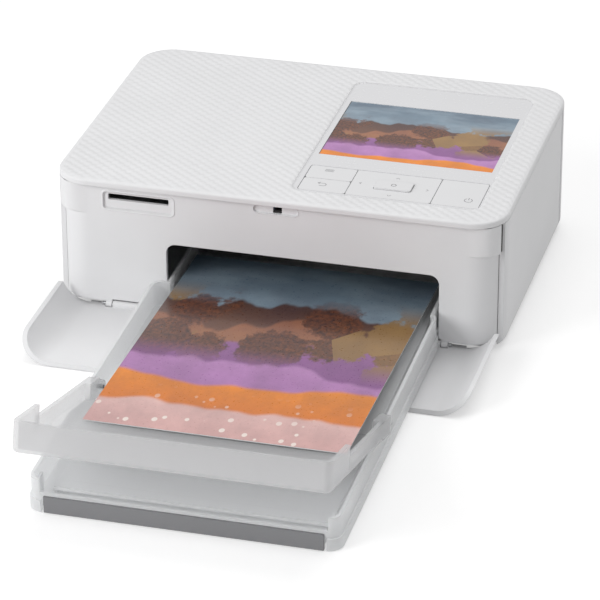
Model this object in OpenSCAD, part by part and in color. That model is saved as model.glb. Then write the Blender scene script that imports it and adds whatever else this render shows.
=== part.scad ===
// Compact photo printer with its paper cassette inserted, its front cover folded down and a
// finished postcard lying on the cassette. X runs to the right seen from the front, the front
// faces -Y, Z is up, and the origin is on the table under the middle of the printer body.

/* [Printer body] */
// Width of the body over its side covers
body_w = 182.2; // [178:0.1:190]
// Depth of the body without the parts in front of it
body_d = 133; // [130:0.5:140]
// Height of the body above the table
body_h = 57.6; // [56.5:0.1:62]
// Radius of the upright corners
corner_r = 14.25; // [12:0.25:16]
// Thickness of the outer walls
wall_t = 2; // [1.8:0.1:2.2]
// Height of the body's underside above the table
foot_gap = 1.7; // [1.5:0.1:2]
// Rounding along the bottom edge of the side covers
under_r = 3.1; // [2.6:0.1:3.4]
// Seam between neighbouring covers
seam = 0.2; // [0.15:0.05:0.3]

/* [Top cover and control panel] */
// Thickness of the top cover
top_t = 2.4; // [2.2:0.1:2.8]
// Rounding along the upper edge of the top cover
top_edge_r = 0.9; // [0.6:0.1:1.1]
// Width of the control panel
panel_w = 75.5; // [74:0.5:77]
// Top face left in front of the control panel
panel_front = 12.3; // [11.8:0.1:12.8]
// Top face left behind the control panel
panel_rear = 13.7; // [13:0.1:15]
// Place of the control panel's middle along X
panel_x = 41.3; // [40:0.1:42]
// Radius of the control panel's corners
panel_r = 5; // [4:0.5:7]
// How far the control panel lies below the top face
panel_sink = 0.3; // [0.2:0.05:0.5]
// Thickness of the control panel
panel_t = 1.6; // [1.4:0.1:1.8]
// Visible width of the screen
screen_w = 70.7; // [68:0.1:71]
// Visible depth of the screen
screen_d = 52.6; // [50:0.1:53]
// Distance from the control panel's front edge to the screen
screen_front = 35.1; // [34.4:0.1:35.8]
// Thickness of the screen module
screen_t = 2.6; // [2.2:0.1:3]

/* [Keys] */
// Depth of the key field along Y
key_d = 22.5; // [21:0.5:23]
// Distance from the control panel's front edge to the keys
key_front = 1.75; // [1.5:0.05:2.2]
// Place of the four-way pad's middle along X
nav_x = 42.15; // [41.8:0.05:42.3]
// Width of each outer key column
side_key_w = 18.8; // [18:0.1:18.9]
// Width of the four-way pad in the middle
nav_w = 34; // [33:0.1:34.4]
// Width of the raised centre key
ok_w = 14.8; // [14:0.1:15.5]
// Depth of the raised centre key
ok_d = 7.6; // [7:0.1:8]
// Gap round every key
key_gap = 0.25; // [0.2:0.05:0.35]
// Stroke of a key when it is pressed
key_stroke = 0.4; // [0.3:0.05:0.5]

/* [Front panel] */
// How far the front panel lies behind the body's front face
front_sink = 2; // [1.8:0.1:2.2]
// Width of the paper opening
mouth_w = 110.6; // [110:0.1:112]
// Height of the paper opening's upper edge above the table
mouth_top = 32.5; // [31:0.1:34]
// Radius of the paper opening's upper corners
mouth_r = 4; // [3:0.5:5]
// Place of the paper path's middle along X
path_x = 10.9; // [10.5:0.1:11.3]
// Width of the memory card slot
card_w = 24.9; // [24.6:0.1:25.5]
// Height of the memory card slot
card_h = 2.6; // [2.4:0.1:3]
// Place of the memory card slot's middle along X
card_x = -55.6; // [-57:0.1:-54]
// Height of the memory card slot's middle above the table
card_z = 50.3; // [49.5:0.1:50.5]
// Width of the shallow recess round the card slot
card_recess_w = 28.7; // [28:0.1:30]
// Height of the shallow recess round the card slot
card_recess_h = 7.5; // [7:0.1:8]
// Length of the front cover catch's recess
catch_w = 18; // [16:0.5:20]
// Height of the front cover catch's recess
catch_h = 3.2; // [3:0.1:3.6]
// Height of the front cover catch above the table
catch_z = 52.6; // [52:0.1:52.8]

/* [Front cover] */
// Thickness of the front cover
cover_t = 1.8; // [1.7:0.1:1.9]
// Height of the front cover's hinge axis above the table
cover_axis_z = 2.7; // [2.6:0.05:2.9]
// Depth by which the front cover wraps round the body's corners
cover_wrap = 9.5; // [8.5:0.1:9.6]
// Height up to which the wrapped ends keep their full depth
cover_wrap_top = 42.5; // [41:0.5:44]
// Radius of the front cover's hinge barrel
barrel_r = 1.5; // [1.4:0.05:1.6]
// Radius of the front cover's hinge pins
pin_r = 0.7; // [0.6:0.05:0.8]
// Radial clearance of hinge pins and shafts in their bores
pin_play = 0.05; // [0.04:0.01:0.08]

/* [Ink door] */
// Distance from the body's front face to the ink door's front edge
door_front = 9.5; // [9:0.1:10]
// Length of the ink door along Y
door_l = 107.5; // [106:0.5:108]
// Radius of the ink door's hinge pins
door_pin_r = 0.5; // [0.45:0.05:0.55]
// Height of the finger gap at the ink door's front edge
finger_h = 12.4; // [11:0.1:13]

/* [Paper cassette] */
// Width of the cassette in front of the printer
tray_w = 117.5; // [117:0.1:118.5]
// Place of the cassette's middle along X
tray_x = 8.75; // [8.5:0.05:9]
// Distance from the cassette's front to the printer's front panel
tray_reach = 157.5; // [155:0.5:160]
// Depth to which the cassette enters the printer
tray_insert = 39; // [36:0.5:40]
// Height of the cassette's side rails
tray_h = 13.2; // [13:0.1:13.6]
// Slope of the cassette toward its front, in degrees
tray_tilt = 1.45; // [1.4:0.01:1.5]
// Thickness of the cassette's walls
tray_wall = 2; // [1.8:0.1:2.2]
// Thickness of the cassette's floor
tray_floor = 1.4; // [1.2:0.1:1.6]
// Height of the cassette's hollow underside
tray_under = 1.5; // [1.4:0.1:1.7]
// Radius of the cassette's upright corners
tray_r = 6; // [5:0.5:7]
// Width of the grey plate across the cassette's front
plate_w = 104.5; // [103:0.5:106]
// Height of the grey plate across the cassette's front
plate_h = 6.6; // [6:0.1:7]
// Height of the cassette's front wall between its corners
front_wall_h = 7.9; // [7.4:0.1:8]
// Height of the ledge along the cassette's outer walls
ledge_h = 4.8; // [4.4:0.1:5.2]
// Depth of the ledge along the cassette's outer walls
ledge_in = 0.7; // [0.5:0.1:0.8]
// Width of the notches at both ends of the grey plate
notch_w = 1; // [0.8:0.1:1.2]

/* [Print catcher] */
// Angle at which the print catcher stands open, in degrees
catcher_angle = 14.9; // [14.5:0.1:15.2]
// Length of the print catcher from its hinge to its front wall
catcher_l = 95.4; // [94:0.2:96]
// Distance from the cassette's front to the catcher's hinge axis
catcher_hinge = 79; // [78:0.5:80]
// Depth of the catcher's floor below its side rails
catcher_depth = 6.3; // [6.2:0.1:6.8]
// Height of the catcher's front wall
catcher_front_h = 11.6; // [10.6:0.1:12]
// Radius of the catcher's front corners
catcher_r = 3; // [2.8:0.1:4]
// Rounding under the catcher's walls
catcher_round = 1.8; // [1:0.1:2]
// Width of the slits behind the catcher's corner tabs
slit_w = 0.5; // [0.4:0.1:0.8]
// Length of the raised corner tabs beside the front wall
tab_l = 26; // [24:0.5:28]
// Height of the raised corner tabs over the side rails
tab_h = 4.5; // [4:0.1:5]

/* [Paper] */
// Width of a postcard
card_stock_w = 100; // [99:0.5:100]
// Length of a postcard
card_stock_l = 148; // [147:0.5:148]
// Thickness of one printed postcard
print_t = 0.3; // [0.25:0.05:0.35]
// Height of the sheets in the cassette
stack_h = 2; // [1.5:0.1:2.4]
// Height of the print's back edge above the table
print_back_z = 16.4; // [16.2:0.1:16.6]
// Gap between the print's front edge and the catcher's floor
print_rest = 0.5; // [0.4:0.05:0.7]
// Distance from the front panel back to the print's back edge
print_in = 24.5; // [24:0.5:25]

/* [Paper drive] */
// Radius of the grit roller that moves the paper
capstan_r = 4; // [3.8:0.1:4.1]
// Radius of the pinch roller above the grit roller
pinch_r = 3.2; // [3:0.1:3.4]
// Radius of the platen roller under the print head
platen_r = 5; // [4.8:0.1:5.1]
// Radius of the pickup roller's tyres
pickup_r = 5; // [4.6:0.1:5.4]
// Radius of the roller shafts
shaft_r = 1.8; // [1.6:0.1:2]
// Gap between the print and each roller
nip = 0.12; // [0.1:0.01:0.15]
// Module of the gears
gear_m = 0.6; // [0.58:0.01:0.6]
// Teeth of the motor pinions
pinion_teeth = 16; // [15:1:16]
// Teeth of the gear on the grit roller
capstan_teeth = 20; // [20:1:21]
// Teeth of the rear idler gear
idler_a_teeth = 40; // [39:1:40]
// Teeth of the front idler gear
idler_b_teeth = 45; // [45:1:46]
// Teeth of the take-up gear
takeup_teeth = 32; // [31:1:33]
// Play between meshing gear teeth
backlash = 0.16; // [0.12:0.01:0.2]
// Width of the gears
gear_w = 2.6; // [2.2:0.1:2.8]
// Radius of the paper motor
motor_r = 10; // [9:0.1:10]
// Radius of the ribbon motor
ribbon_motor_r = 7; // [6.5:0.1:7]
// Length of both motors
motor_l = 16; // [14:0.5:16.5]

/* [Print head and ink cassette] */
// Width of the print head
head_w = 104; // [103:0.5:104]
// Depth of the print head
head_d = 13; // [12:0.5:13]
// Lift of the print head over the paper at rest
head_lift = 3.2; // [3:0.1:3.6]
// Radius of the shaft on which the print head tilts
head_shaft_r = 2; // [1.8:0.1:2.2]
// Outer radius of the ink cassette's tubes
tube_r = 11.5; // [11:0.1:11.6]
// Wall of the ink cassette
ink_wall = 1.4; // [1.2:0.1:1.5]
// Radius of the ink ribbon left on the supply spool
supply_roll_r = 8.6; // [7:0.1:9]
// Radius of the used ribbon on the take-up spool
takeup_roll_r = 6.4; // [6:0.1:8.8]
// Radius of the spool cores
core_r = 4.6; // [4.4:0.1:4.8]

/* [Chassis] */
// Thickness of the steel side plates
plate_t = 1.2; // [1:0.1:1.3]
// Place of the left side plate's inner face left of the middle
plate_left = 66.8; // [66.5:0.1:67]
// Place of the right side plate's inner face right of the middle
plate_right = 68; // [67.5:0.1:68.5]

/* [Hidden] */
$fn = 96;
eps = 0.01;
half_w = body_w / 2;
half_d = body_d / 2;
front_y = -half_d;
top_under = body_h - top_t;
wall_top = top_under - seam;
floor_t = wall_t;
floor_top = foot_gap + floor_t;
panel_face_y = front_y + front_sink;
panel_back_y = panel_face_y + wall_t;
inset_w = half_w - front_sink;
panel_d = body_d - panel_front - panel_rear;
panel_front_y = front_y + panel_front;
panel_y = panel_front_y + panel_d / 2;
screen_y = panel_front_y + screen_front + screen_d / 2;
key_y = panel_front_y + key_front + key_d / 2;
door_front_y = front_y + door_front;
door_rear_y = door_front_y + door_l;
door_axis_x = half_w - wall_t / 2;
door_axis_y = door_rear_y - wall_t / 2;

// Places along Y of the rollers, the print head and the spools.
pickup_y = -33;
capstan_y = -14;
platen_y = 8;
supply_y = -16;
supply_z = 36;
takeup_y = 34;
takeup_z = 32;
head_shaft_y = 54;
head_shaft_z = 46;
motor_y = 46;
motor_z = 15;

// Paper cassette, in its own frame: y runs back from its front face and z up from its underside.
tray_front_y = panel_face_y - tray_reach;
tray_lift = 0.25;
insert_gap = 0.4;
insert_w = mouth_w - 2 * insert_gap;
rail_l = tray_reach - 1;
tray_l = tray_reach + tray_insert;
tray_inner_z = tray_under + tray_floor;
stack_y = tray_l - 7 - card_stock_l;
plate_x = 9 - tray_x;
lug_x = tray_w / 2 - 3.9;

// Print catcher, in its hinge's frame: y runs back, so the catcher lies on the -y side.
hinge_z = 10 - tray_lift - catcher_hinge * sin(tray_tilt);
catcher_pin_r = 0.8;
rail_top = 4.7;
catch_floor = rail_top - catcher_depth;
catch_floor_t = 1;
catch_under = catch_floor - catch_floor_t;
catch_start = 14;
catcher_w = tray_w - 0.2;
catch_wall = 1.8;
arm_x = catcher_w / 2 - 3.4;
ear_l = 5;

// Hinge of the catcher, and the catcher's front end, as they lie on the table.
hinge_world_y = tray_front_y + catcher_hinge * cos(tray_tilt) - hinge_z * sin(tray_tilt);
hinge_world_z = tray_lift + catcher_hinge * sin(tray_tilt) + hinge_z * cos(tray_tilt);
catcher_reach_y = hinge_world_y - (catcher_l - catcher_round) * cos(catcher_angle)
  + (catch_under + catcher_round) * sin(catcher_angle) - catcher_round;

// The model stands with the middle of its whole length over the origin.
stand_y = -(catcher_reach_y + half_d) / 2;

// The print's sheet rises toward the front, where its edge lies over the catcher's floor.
print_back_y = panel_face_y + print_in;
print_half = print_t / 2;
floor_z = hinge_world_z + (hinge_world_y - print_back_y + card_stock_l) * tan(catcher_angle)
  + catch_floor / cos(catcher_angle);
print_tilt = asin((floor_z + print_rest + print_half - print_back_z) / card_stock_l);
function path_z(y) = print_back_z - (y - print_back_y) * tan(print_tilt);
roller_gap = print_half + nip;
capstan_z = path_z(capstan_y) - roller_gap - capstan_r;
pinch_z = path_z(capstan_y) + roller_gap + pinch_r;
platen_z = path_z(platen_y) - roller_gap - platen_r;
pickup_z = path_z(pickup_y) + roller_gap + pickup_r;

// Chassis plates and the gear plane left of them. The tower holds the print head's shaft.
chassis_z = floor_top + 0.1;
chassis_rear = half_d - 14.1;
chassis_step_z = 26;
tower = [head_shaft_y - 8, head_shaft_y + 6, 30, head_shaft_z + 3.2];
plate_left_x = -plate_left - plate_t;
gear_x1 = plate_left_x - 1.2;
gear_x0 = gear_x1 - gear_w;
takeup_gear_x1 = gear_x0 - 1.6;
takeup_gear_x0 = takeup_gear_x1 - gear_w;

// Gear centres. The rear idler meshes with the motor, and the front idler with it and the roller.
function pitch_r(teeth) = gear_m * teeth / 2;
function reach(t1, t2) = pitch_r(t1) + pitch_r(t2);
motor_dir = 173;
idler_a_y = motor_y + reach(pinion_teeth, idler_a_teeth) * cos(motor_dir);
idler_a_z = motor_z + reach(pinion_teeth, idler_a_teeth) * sin(motor_dir);
train_dy = capstan_y - idler_a_y;
train_dz = capstan_z - idler_a_z;
train_l = norm([train_dy, train_dz]);
train_a = reach(idler_a_teeth, idler_b_teeth);
train_b = reach(idler_b_teeth, capstan_teeth);
train_cos = (train_a * train_a + train_l * train_l - train_b * train_b) / (2 * train_a * train_l);
train_dir = atan2(train_dz, train_dy) - acos(min(1, train_cos));
idler_b_y = idler_a_y + train_a * cos(train_dir);
idler_b_z = idler_a_z + train_a * sin(train_dir);
capstan_dir = atan2(capstan_z - idler_b_z, capstan_y - idler_b_y);
ribbon_dir = 40;
ribbon_motor_y = takeup_y + reach(takeup_teeth, pinion_teeth) * cos(ribbon_dir);
ribbon_motor_z = takeup_z + reach(takeup_teeth, pinion_teeth) * sin(ribbon_dir);

// Turn of a gear so that it meshes: the gear it meets has turn t1 and z1 teeth, and dir points
// from that gear's centre to this one's.
function mesh_turn(dir, t1, z1, z2) = dir + 180 - (360 / z2) * (0.5 - (dir - t1) * z1 / 360);
idler_a_turn = mesh_turn(motor_dir, 0, pinion_teeth, idler_a_teeth);
idler_b_turn = mesh_turn(train_dir, idler_a_turn, idler_a_teeth, idler_b_teeth);
capstan_turn = mesh_turn(capstan_dir, idler_b_turn, idler_b_teeth, capstan_teeth);
ribbon_turn = mesh_turn(ribbon_dir, 0, takeup_teeth, pinion_teeth);

// Ink cassette.
ink_left = -50;
ink_right = half_w - wall_t - 4;
ink_end_t = 2;
ribbon_w = head_w + 1;

// Control panel and keys.
side_key_x = side_key_w / 2 + nav_w / 2 + key_gap;
panel_top = body_h - panel_sink;
panel_under = panel_top - panel_t;
half_key_d = (key_d - key_gap) / 2;
key_top = panel_top - 0.05;
key_under = key_top - 1.4;
board_z = 52.4;
board_t = 1.2;
switch_h = key_under - key_stroke - 0.15 - board_z - board_t;
board_front_y = key_y - key_d / 2 - 6.5;

// Front panel, front cover and rear.
cover_axis_y = front_y + 2.5;
knuckle_x = half_w - 22.35;
barrel_end = knuckle_x - 1.55;
barrel_l = 50.4;
barrel_x = barrel_end - barrel_l / 2;
wrap_round = 13;
slot_w = 106;
slot_z0 = path_z(half_d) - 3;
slot_z1 = path_z(half_d) + 4;
vent_x = -18;
inlet_x = half_w - 19.1;
inlet_z = 14;
usb_x = 26.6 - half_w;
usb_z = 39;
socket_l = 28;
socket_rim = 1.5;
ear_h = 4;
door_ears = [12, 42];
screw_xs = [10.1 - half_w, half_w - 11.1];
screw_ys = [16.5 - half_d, half_d - 10];
foot_xs = [19.1 - half_w, half_w - 19.1];
foot_ys = [20.5 - half_d, half_d - 20.5];
foot_r = 5;
floor_vents = 10;
floor_vent_x = 31.1 - half_w;
floor_vent_y = half_d - 28.5;
board_top = 51.2;
board_gap = 6.5;
board_right = panel_x - panel_w / 2 - 7.55;
board_left = 11.1 - half_w;
board_rear = half_d - board_gap;
board_front = panel_back_y + socket_l + 6.3;
board_l = board_rear - board_front;
post_in = 6;
board_posts_x = [board_left + post_in, board_right - post_in - 2];
board_posts_y = [board_front + post_in, board_rear - post_in];

// Mechanism.
pinch_y = capstan_y;
plate_front = pickup_y - 4.5;
spindle_r = 2.4;
spline_r = 3;
tyres = [-48, -12, 12, 48];
head_z = path_z(platen_y) + head_lift;
arm_xs = [path_x - head_w / 2 - 3.6, path_x + head_w / 2 + 1.6];
ribbon_z = path_z(platen_y) + 1.1;
bay_x = ink_right + 0.6;
lock_y = (supply_y + takeup_y) / 2;
lock_z = 50;
lock_pin_r = 0.6;

// Cover over the sheets. Finished prints slide over it.
lid_t = 1.2;
lift_t = 0.8;
lift_w = 60;
lift_l = 50;
lid_z = tray_inner_z + 4.1;
lid_w = card_stock_w + 3.4;
lid_y0 = 5.2;

// Solid with upright corners of radius r and its lower edge rounded to f, resting on z = 0.
module tub(w, d, h, r, f) {
  for (sx = [-1, 1], sy = [-1, 1])
    translate([sx * (w / 2 - r), sy * (d / 2 - r), 0])
      rotate_extrude() tub_corner(h, r, f);
  rotate([90, 0, 90])
    translate([0, 0, r - w / 2])
      linear_extrude(w - 2 * r) tub_side(d, h, f);
  rotate([90, 0, 0])
    translate([0, 0, r - d / 2])
      linear_extrude(d - 2 * r) tub_side(w, h, f);
}

module tub_corner(h, r, f) {
  translate([0, f]) square([r, h - f]);
  square([r - f, h]);
  intersection() {
    translate([r - f, f]) circle(f);
    square([r, h]);
  }
}

module tub_side(w, h, f) {
  translate([-w / 2, f]) square([w, h - f]);
  translate([f - w / 2, 0]) square([w - 2 * f, h]);
  for (s = [-1, 1])
    translate([s * (w / 2 - f), f]) circle(f);
}

// Flat outline with round corners.
module round_rect(w, d, r) {
  square([w - 2 * r, d], center = true);
  square([w, d - 2 * r], center = true);
  for (sx = [-1, 1], sy = [-1, 1])
    translate([sx * (w / 2 - r), sy * (d / 2 - r)]) circle(r);
}

module slab(w, d, h, r) {
  linear_extrude(h) round_rect(w, d, r);
}

module box_at(lo, hi) {
  translate(lo) cube(hi - lo);
}

// Cylinder along X between two places.
module rod_x(x0, x1, y, z, r) {
  translate([x0, y, z]) rotate([0, 90, 0]) cylinder(r = r, h = x1 - x0);
}

// Outer skin of the printer's sides, open above and below.
module side_skin() {
  difference() {
    translate([0, 0, foot_gap]) tub(body_w, body_d, wall_top - foot_gap, corner_r, under_r);
    translate([0, 0, foot_gap + wall_t])
      tub(body_w - 2 * wall_t, body_d - 2 * wall_t, body_h, corner_r - wall_t, under_r - wall_t);
    translate([0, 0, -1])
      slab(body_w - 2 * under_r, body_d - 2 * under_r, foot_gap + wall_t + 2, corner_r - under_r);
  }
}

// Involute gear outline with teeth centred on the turn angle, wide enough for the play asked for.
function involute(rb, t) = [
  rb * (cos(t) + t * PI / 180 * sin(t)),
  rb * (sin(t) - t * PI / 180 * cos(t))
];
function turned(p, a) = [p.x * cos(a) - p.y * sin(a), p.x * sin(a) + p.y * cos(a)];
function polar(r, a) = [r * cos(a), r * sin(a)];

module gear_outline(teeth) {
  pressure = 22.5;
  rp = pitch_r(teeth);
  rb = rp * cos(pressure);
  ra = rp + 0.9 * gear_m;
  rf = rp - 1.2 * gear_m;
  half_tooth = (PI * gear_m / 2 - backlash) / 2 / rp * 180 / PI;
  base_half = half_tooth + tan(pressure) * 180 / PI - pressure;
  roll_end = sqrt(ra * ra / (rb * rb) - 1) * 180 / PI;
  roll_start = rf > rb ? sqrt(rf * rf / (rb * rb) - 1) * 180 / PI : 0;
  flank = [for (k = [0:3]) involute(rb, roll_start + (roll_end - roll_start) * k / 3)];
  polygon([
    for (i = [0:teeth - 1])
      for (p = concat(
        [polar(min(rf, rb), -base_half)],
        [for (k = [0:3]) turned(flank[k], -base_half)],
        [for (k = [3:-1:0]) turned([flank[k].x, -flank[k].y], base_half)],
        [polar(min(rf, rb), base_half)]))
        turned(p, i * 360 / teeth)
  ]);
}

// Gear whose axis runs along X, with a hub boss on its right face.
module gear_x(x0, y, z, teeth, turn) {
  translate([x0, y, z]) rotate([90, 0, 90]) rotate(turn) linear_extrude(gear_w) gear_outline(teeth);
}

module key_window() {
  translate([nav_x, key_y])
    round_rect(2 * side_key_w + nav_w + 4 * key_gap, key_d + 2 * key_gap, 1.4);
}

module top_cover() {
  color("white") difference() {
    union() {
      translate([0, 0, body_h]) mirror([0, 0, 1])
        tub(body_w, body_d, top_t, corner_r, top_edge_r);
      // Rim that centres the cover inside the side covers.
      translate([0, 0, top_under - 2]) difference() {
        slab(body_w - 2 * (wall_t + 2.4), body_d - 2 * (wall_t + 2.4), 2 + eps, corner_r - 4);
        translate([0, 0, -1])
          slab(body_w - 2 * (wall_t + 3.8), body_d - 2 * (wall_t + 3.8), 4, corner_r - 5);
      }
      for (x = board_posts_x, y = board_posts_y)
        translate([x, y, board_top]) cylinder(r = 2.6, h = top_under - board_top + eps);
      for (x = [-1, 1])
        translate([panel_x + x * 33, board_front_y + 1.6, board_z + board_t])
          cylinder(r = 1.2, h = top_under - board_z - board_t + eps);
    }
    translate([panel_x, panel_y, panel_under])
      slab(panel_w + 2 * seam, panel_d + 2 * seam, top_t, panel_r);
    translate([panel_x, panel_y, top_under - 4]) slab(panel_w - 2, panel_d - 2, top_t + 4, panel_r - 1);
    translate([0, 0, top_under - 1]) linear_extrude(2) key_window();
  }
}

module control_panel() {
  color("white") difference() {
    union() {
      translate([panel_x, panel_y, panel_under]) slab(panel_w, panel_d, panel_t, panel_r);
      for (x = [-1, 1])
        translate([panel_x + x * 33, key_y + key_d / 2 + 1.6, board_z + board_t])
          cylinder(r = 1, h = panel_under - board_z - board_t + eps);
    }
    translate([panel_x, screen_y, panel_under - 4])
      linear_extrude(panel_t + 6) square([screen_w, screen_d], center = true);
    translate([0, 0, panel_under - 1]) linear_extrude(panel_t + 2) key_window();
  }
}

module screen_module() {
  color("black") {
    translate([panel_x, screen_y, panel_under - screen_t]) linear_extrude(screen_t - seam)
      square([panel_w - 2 - 2 * seam, screen_d + 6], center = true);
    translate([panel_x, screen_y, panel_under - seam - eps])
      linear_extrude(panel_t - 0.05) square([screen_w - 0.3, screen_d - 0.3], center = true);
  }
}

module side_key(side, y0, d) {
  translate([nav_x + side * side_key_x, y0 + d / 2, key_under])
    slab(side_key_w, d, key_top - key_under, 1.2);
}

module menu_key() {
  color("white") side_key(-1, key_y + key_gap / 2, half_key_d);
}

module back_key() {
  color("white") side_key(-1, key_y - key_d / 2, half_key_d);
}

module power_key() {
  color("white") side_key(1, key_y - key_d / 2, key_d);
}

module nav_pad() {
  color("white") difference() {
    union() {
      translate([nav_x, key_y, key_under]) slab(nav_w, key_d, key_top - key_under, 1.2);
      // Ribs on which the pad rocks.
      for (s = [-1, 1])
        rod_x(nav_x + s * 9.5 - 1.5, nav_x + s * 9.5 + 1.5, key_y, key_under, 0.5);
    }
    translate([nav_x, key_y, key_under - 1])
      slab(ok_w + 2 * key_gap, ok_d + 2 * key_gap, 4, 1.2);
  }
}

module ok_key() {
  color("white") translate([nav_x, key_y, key_under])
    tub(ok_w, ok_d, key_top - key_under + 0.6, 1, 0.01);
}

// Board that carries the key switches, hung from posts of the control panel and the top cover.
module key_board() {
  color("darkgreen") {
    box_at([panel_x - panel_w / 2 + key_front, board_front_y, board_z],
      [panel_x + panel_w / 2 - key_front, key_y + key_d / 2 + 3, board_z + board_t]);
    for (x = [-side_key_x, 0, side_key_x])
      translate([nav_x + x, key_y, board_z + board_t - eps]) cylinder(r = 2.2, h = switch_h);
    for (y = [-1, 1]) {
      translate([nav_x - side_key_x, key_y + y * key_d / 3.4, board_z + board_t - eps])
        cylinder(r = 2.2, h = switch_h);
      translate([nav_x, key_y + y * key_d / 2.8, board_z + board_t - eps])
        cylinder(r = 1.6, h = switch_h);
    }
    for (x = [-1, 1])
      translate([nav_x + x * nav_w / 2.6, key_y, board_z + board_t - eps])
        cylinder(r = 1.6, h = switch_h);
  }
}

// Front wall behind the front cover. Its upright corners wrap back to the side covers.
module front_panel() {
  inner_r = corner_r - front_sink - wall_t;
  color("whitesmoke") difference() {
    union() {
      intersection() {
        difference() {
          translate([0, 0, 4])
            slab(2 * inset_w, body_d - 2 * front_sink, wall_top - 4, corner_r - front_sink);
          translate([0, 0, -1])
            slab(2 * (inset_w - wall_t), body_d - 2 * (front_sink + wall_t), body_h, inner_r);
        }
        box_at([-half_w, front_y, 0], [half_w, door_front_y - seam, body_h]);
      }
      // Flush shoulders above the front cover's wrapped ends.
      intersection() {
        difference() {
          slab(body_w, body_d, wall_top, corner_r);
          translate([0, 0, -1])
            slab(2 * inset_w - 0.4, body_d - 2 * front_sink - 0.4, body_h, corner_r - front_sink);
        }
        for (s = [-1, 1])
          box_at([s > 0 ? 0 : -half_w, front_y + 4, cover_wrap_top + 0.4],
            [s > 0 ? half_w : 0, front_y + 7.2, body_h]);
      }
      for (s = [-1, 1]) {
        rod_x(s * knuckle_x - 1.25, s * knuckle_x + 1.25, cover_axis_y, cover_axis_z, barrel_r);
        box_at([s * knuckle_x - 1.25, cover_axis_y - 0.4, cover_axis_z],
          [s * knuckle_x + 1.25, panel_back_y, 5.4]);
      }
    }
    // Paper opening, open at its lower edge.
    translate([path_x, panel_face_y - 1, 0]) rotate([90, 0, 0]) mirror([0, 0, 1])
      linear_extrude(wall_t + 3) {
        translate([-mouth_w / 2, -1]) square([mouth_w, mouth_top - mouth_r + 1]);
        translate([0, mouth_top - 2.5 * mouth_r]) round_rect(mouth_w, 5 * mouth_r, mouth_r);
      }
    // Room for the front cover's hinge barrel.
    box_at([-barrel_end - 0.1, front_y - 1, 0],
      [barrel_end + 0.1, panel_back_y + 1, cover_axis_z + barrel_r + 0.7]);
    card_recess();
    catch_recess();
    for (s = [-1, 1])
      rod_x(s * knuckle_x - 3, s * knuckle_x + 3, cover_axis_y, cover_axis_z, pin_r);
    // Finger gap in front of the ink door.
    box_at([half_w - 6, front_y + 7.2, cover_wrap_top + 0.4],
      [half_w + 1, door_front_y + 1, cover_wrap_top + finger_h]);
  }
}

module card_recess() {
  translate([card_x, panel_face_y, card_z - 1.5]) {
    for (k = [0:2])
      translate([0, 0.2 * k - 0.1, 0]) rotate([90, 0, 0]) mirror([0, 0, 1]) linear_extrude(0.3)
        round_rect(card_recess_w - 0.5 * k, card_recess_h - 0.5 * k, 1);
    translate([0, -1, 1.5]) rotate([90, 0, 0]) mirror([0, 0, 1]) linear_extrude(wall_t + 2)
      round_rect(card_w, card_h, 0.5);
  }
}

module catch_recess() {
  translate([0.5, panel_face_y, catch_z]) {
    rotate([90, 0, 0]) mirror([0, 0, 1]) translate([0, 0, -1]) linear_extrude(1.8)
      round_rect(catch_w, catch_h, catch_h / 2 - eps);
    translate([0.6, -1, 0]) rotate([90, 0, 0]) mirror([0, 0, 1]) linear_extrude(wall_t + 2)
      round_rect(3.6, catch_h - 0.2, 0.4);
  }
}

// Sprung catch behind the panel's small window. It holds the closed front cover.
module cover_catch() {
  color("dimgray") {
    box_at([-1.9, panel_back_y + 0.1, catch_z - 2.6], [4.1, panel_back_y + 1.7, catch_z - 1.9]);
    box_at([-0.4, panel_back_y - 0.9, catch_z - 1.2], [2.6, panel_back_y + 1.7, catch_z - 0.3]);
    box_at([-0.4, panel_back_y + 0.9, catch_z - 2.6], [2.6, panel_back_y + 1.7, catch_z - 0.3]);
  }
}

module card_socket() {
  socket_x = card_w / 2 + socket_rim;
  color("silver") difference() {
    box_at([card_x - socket_x, panel_back_y + 0.05, card_z - 2.2],
      [card_x + socket_x, panel_back_y + socket_l, card_z + 2.2]);
    box_at([card_x - card_w / 2, panel_back_y - 1, card_z - card_h / 2],
      [card_x + card_w / 2, panel_back_y + socket_l - 4, card_z + card_h / 2]);
  }
}

module left_cover() {
  color("whitesmoke") intersection() {
    side_skin();
    box_at([-half_w - 1, door_front_y, 0], [corner_r - half_w, half_d + 1, body_h]);
  }
}

module rear_cover() {
  color("whitesmoke") difference() {
    union() {
      intersection() {
        side_skin();
        union() {
          box_at([corner_r - half_w + seam, 0, 0], [door_axis_x - 8, half_d + 1, body_h]);
          box_at([0, door_rear_y + 2 * seam, 0], [half_w + 1, half_d + 1, body_h]);
        }
      }
      for (z = door_ears) {
        translate([door_axis_x, door_axis_y, z]) cylinder(r = wall_t / 2, h = ear_h);
        box_at([door_axis_x - 0.6, door_axis_y, z], [door_axis_x + 0.6, door_rear_y + 1, z + ear_h]);
      }
    }
    // Slot through which the sheet passes back and forth while it is printed.
    box_at([path_x - slot_w / 2, half_d - wall_t - 1, slot_z0], [path_x + slot_w / 2, half_d + 1, slot_z1]);
    for (i = [0:13])
      box_at([vent_x + i * 4.4, half_d - wall_t - 1, 30], [vent_x + i * 4.4 + 2, half_d + 1, 44]);
    translate([inlet_x, half_d + 1, inlet_z]) rotate([90, 0, 0]) cylinder(r = 4.6, h = wall_t + 2);
    translate([usb_x, half_d + 1, usb_z]) rotate([90, 0, 0]) linear_extrude(wall_t + 2)
      round_rect(9.6, 3.8, 1.8);
    for (z = door_ears)
      translate([door_axis_x, door_axis_y, z - 1]) cylinder(r = door_pin_r, h = ear_h + 2);
  }
}

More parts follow.
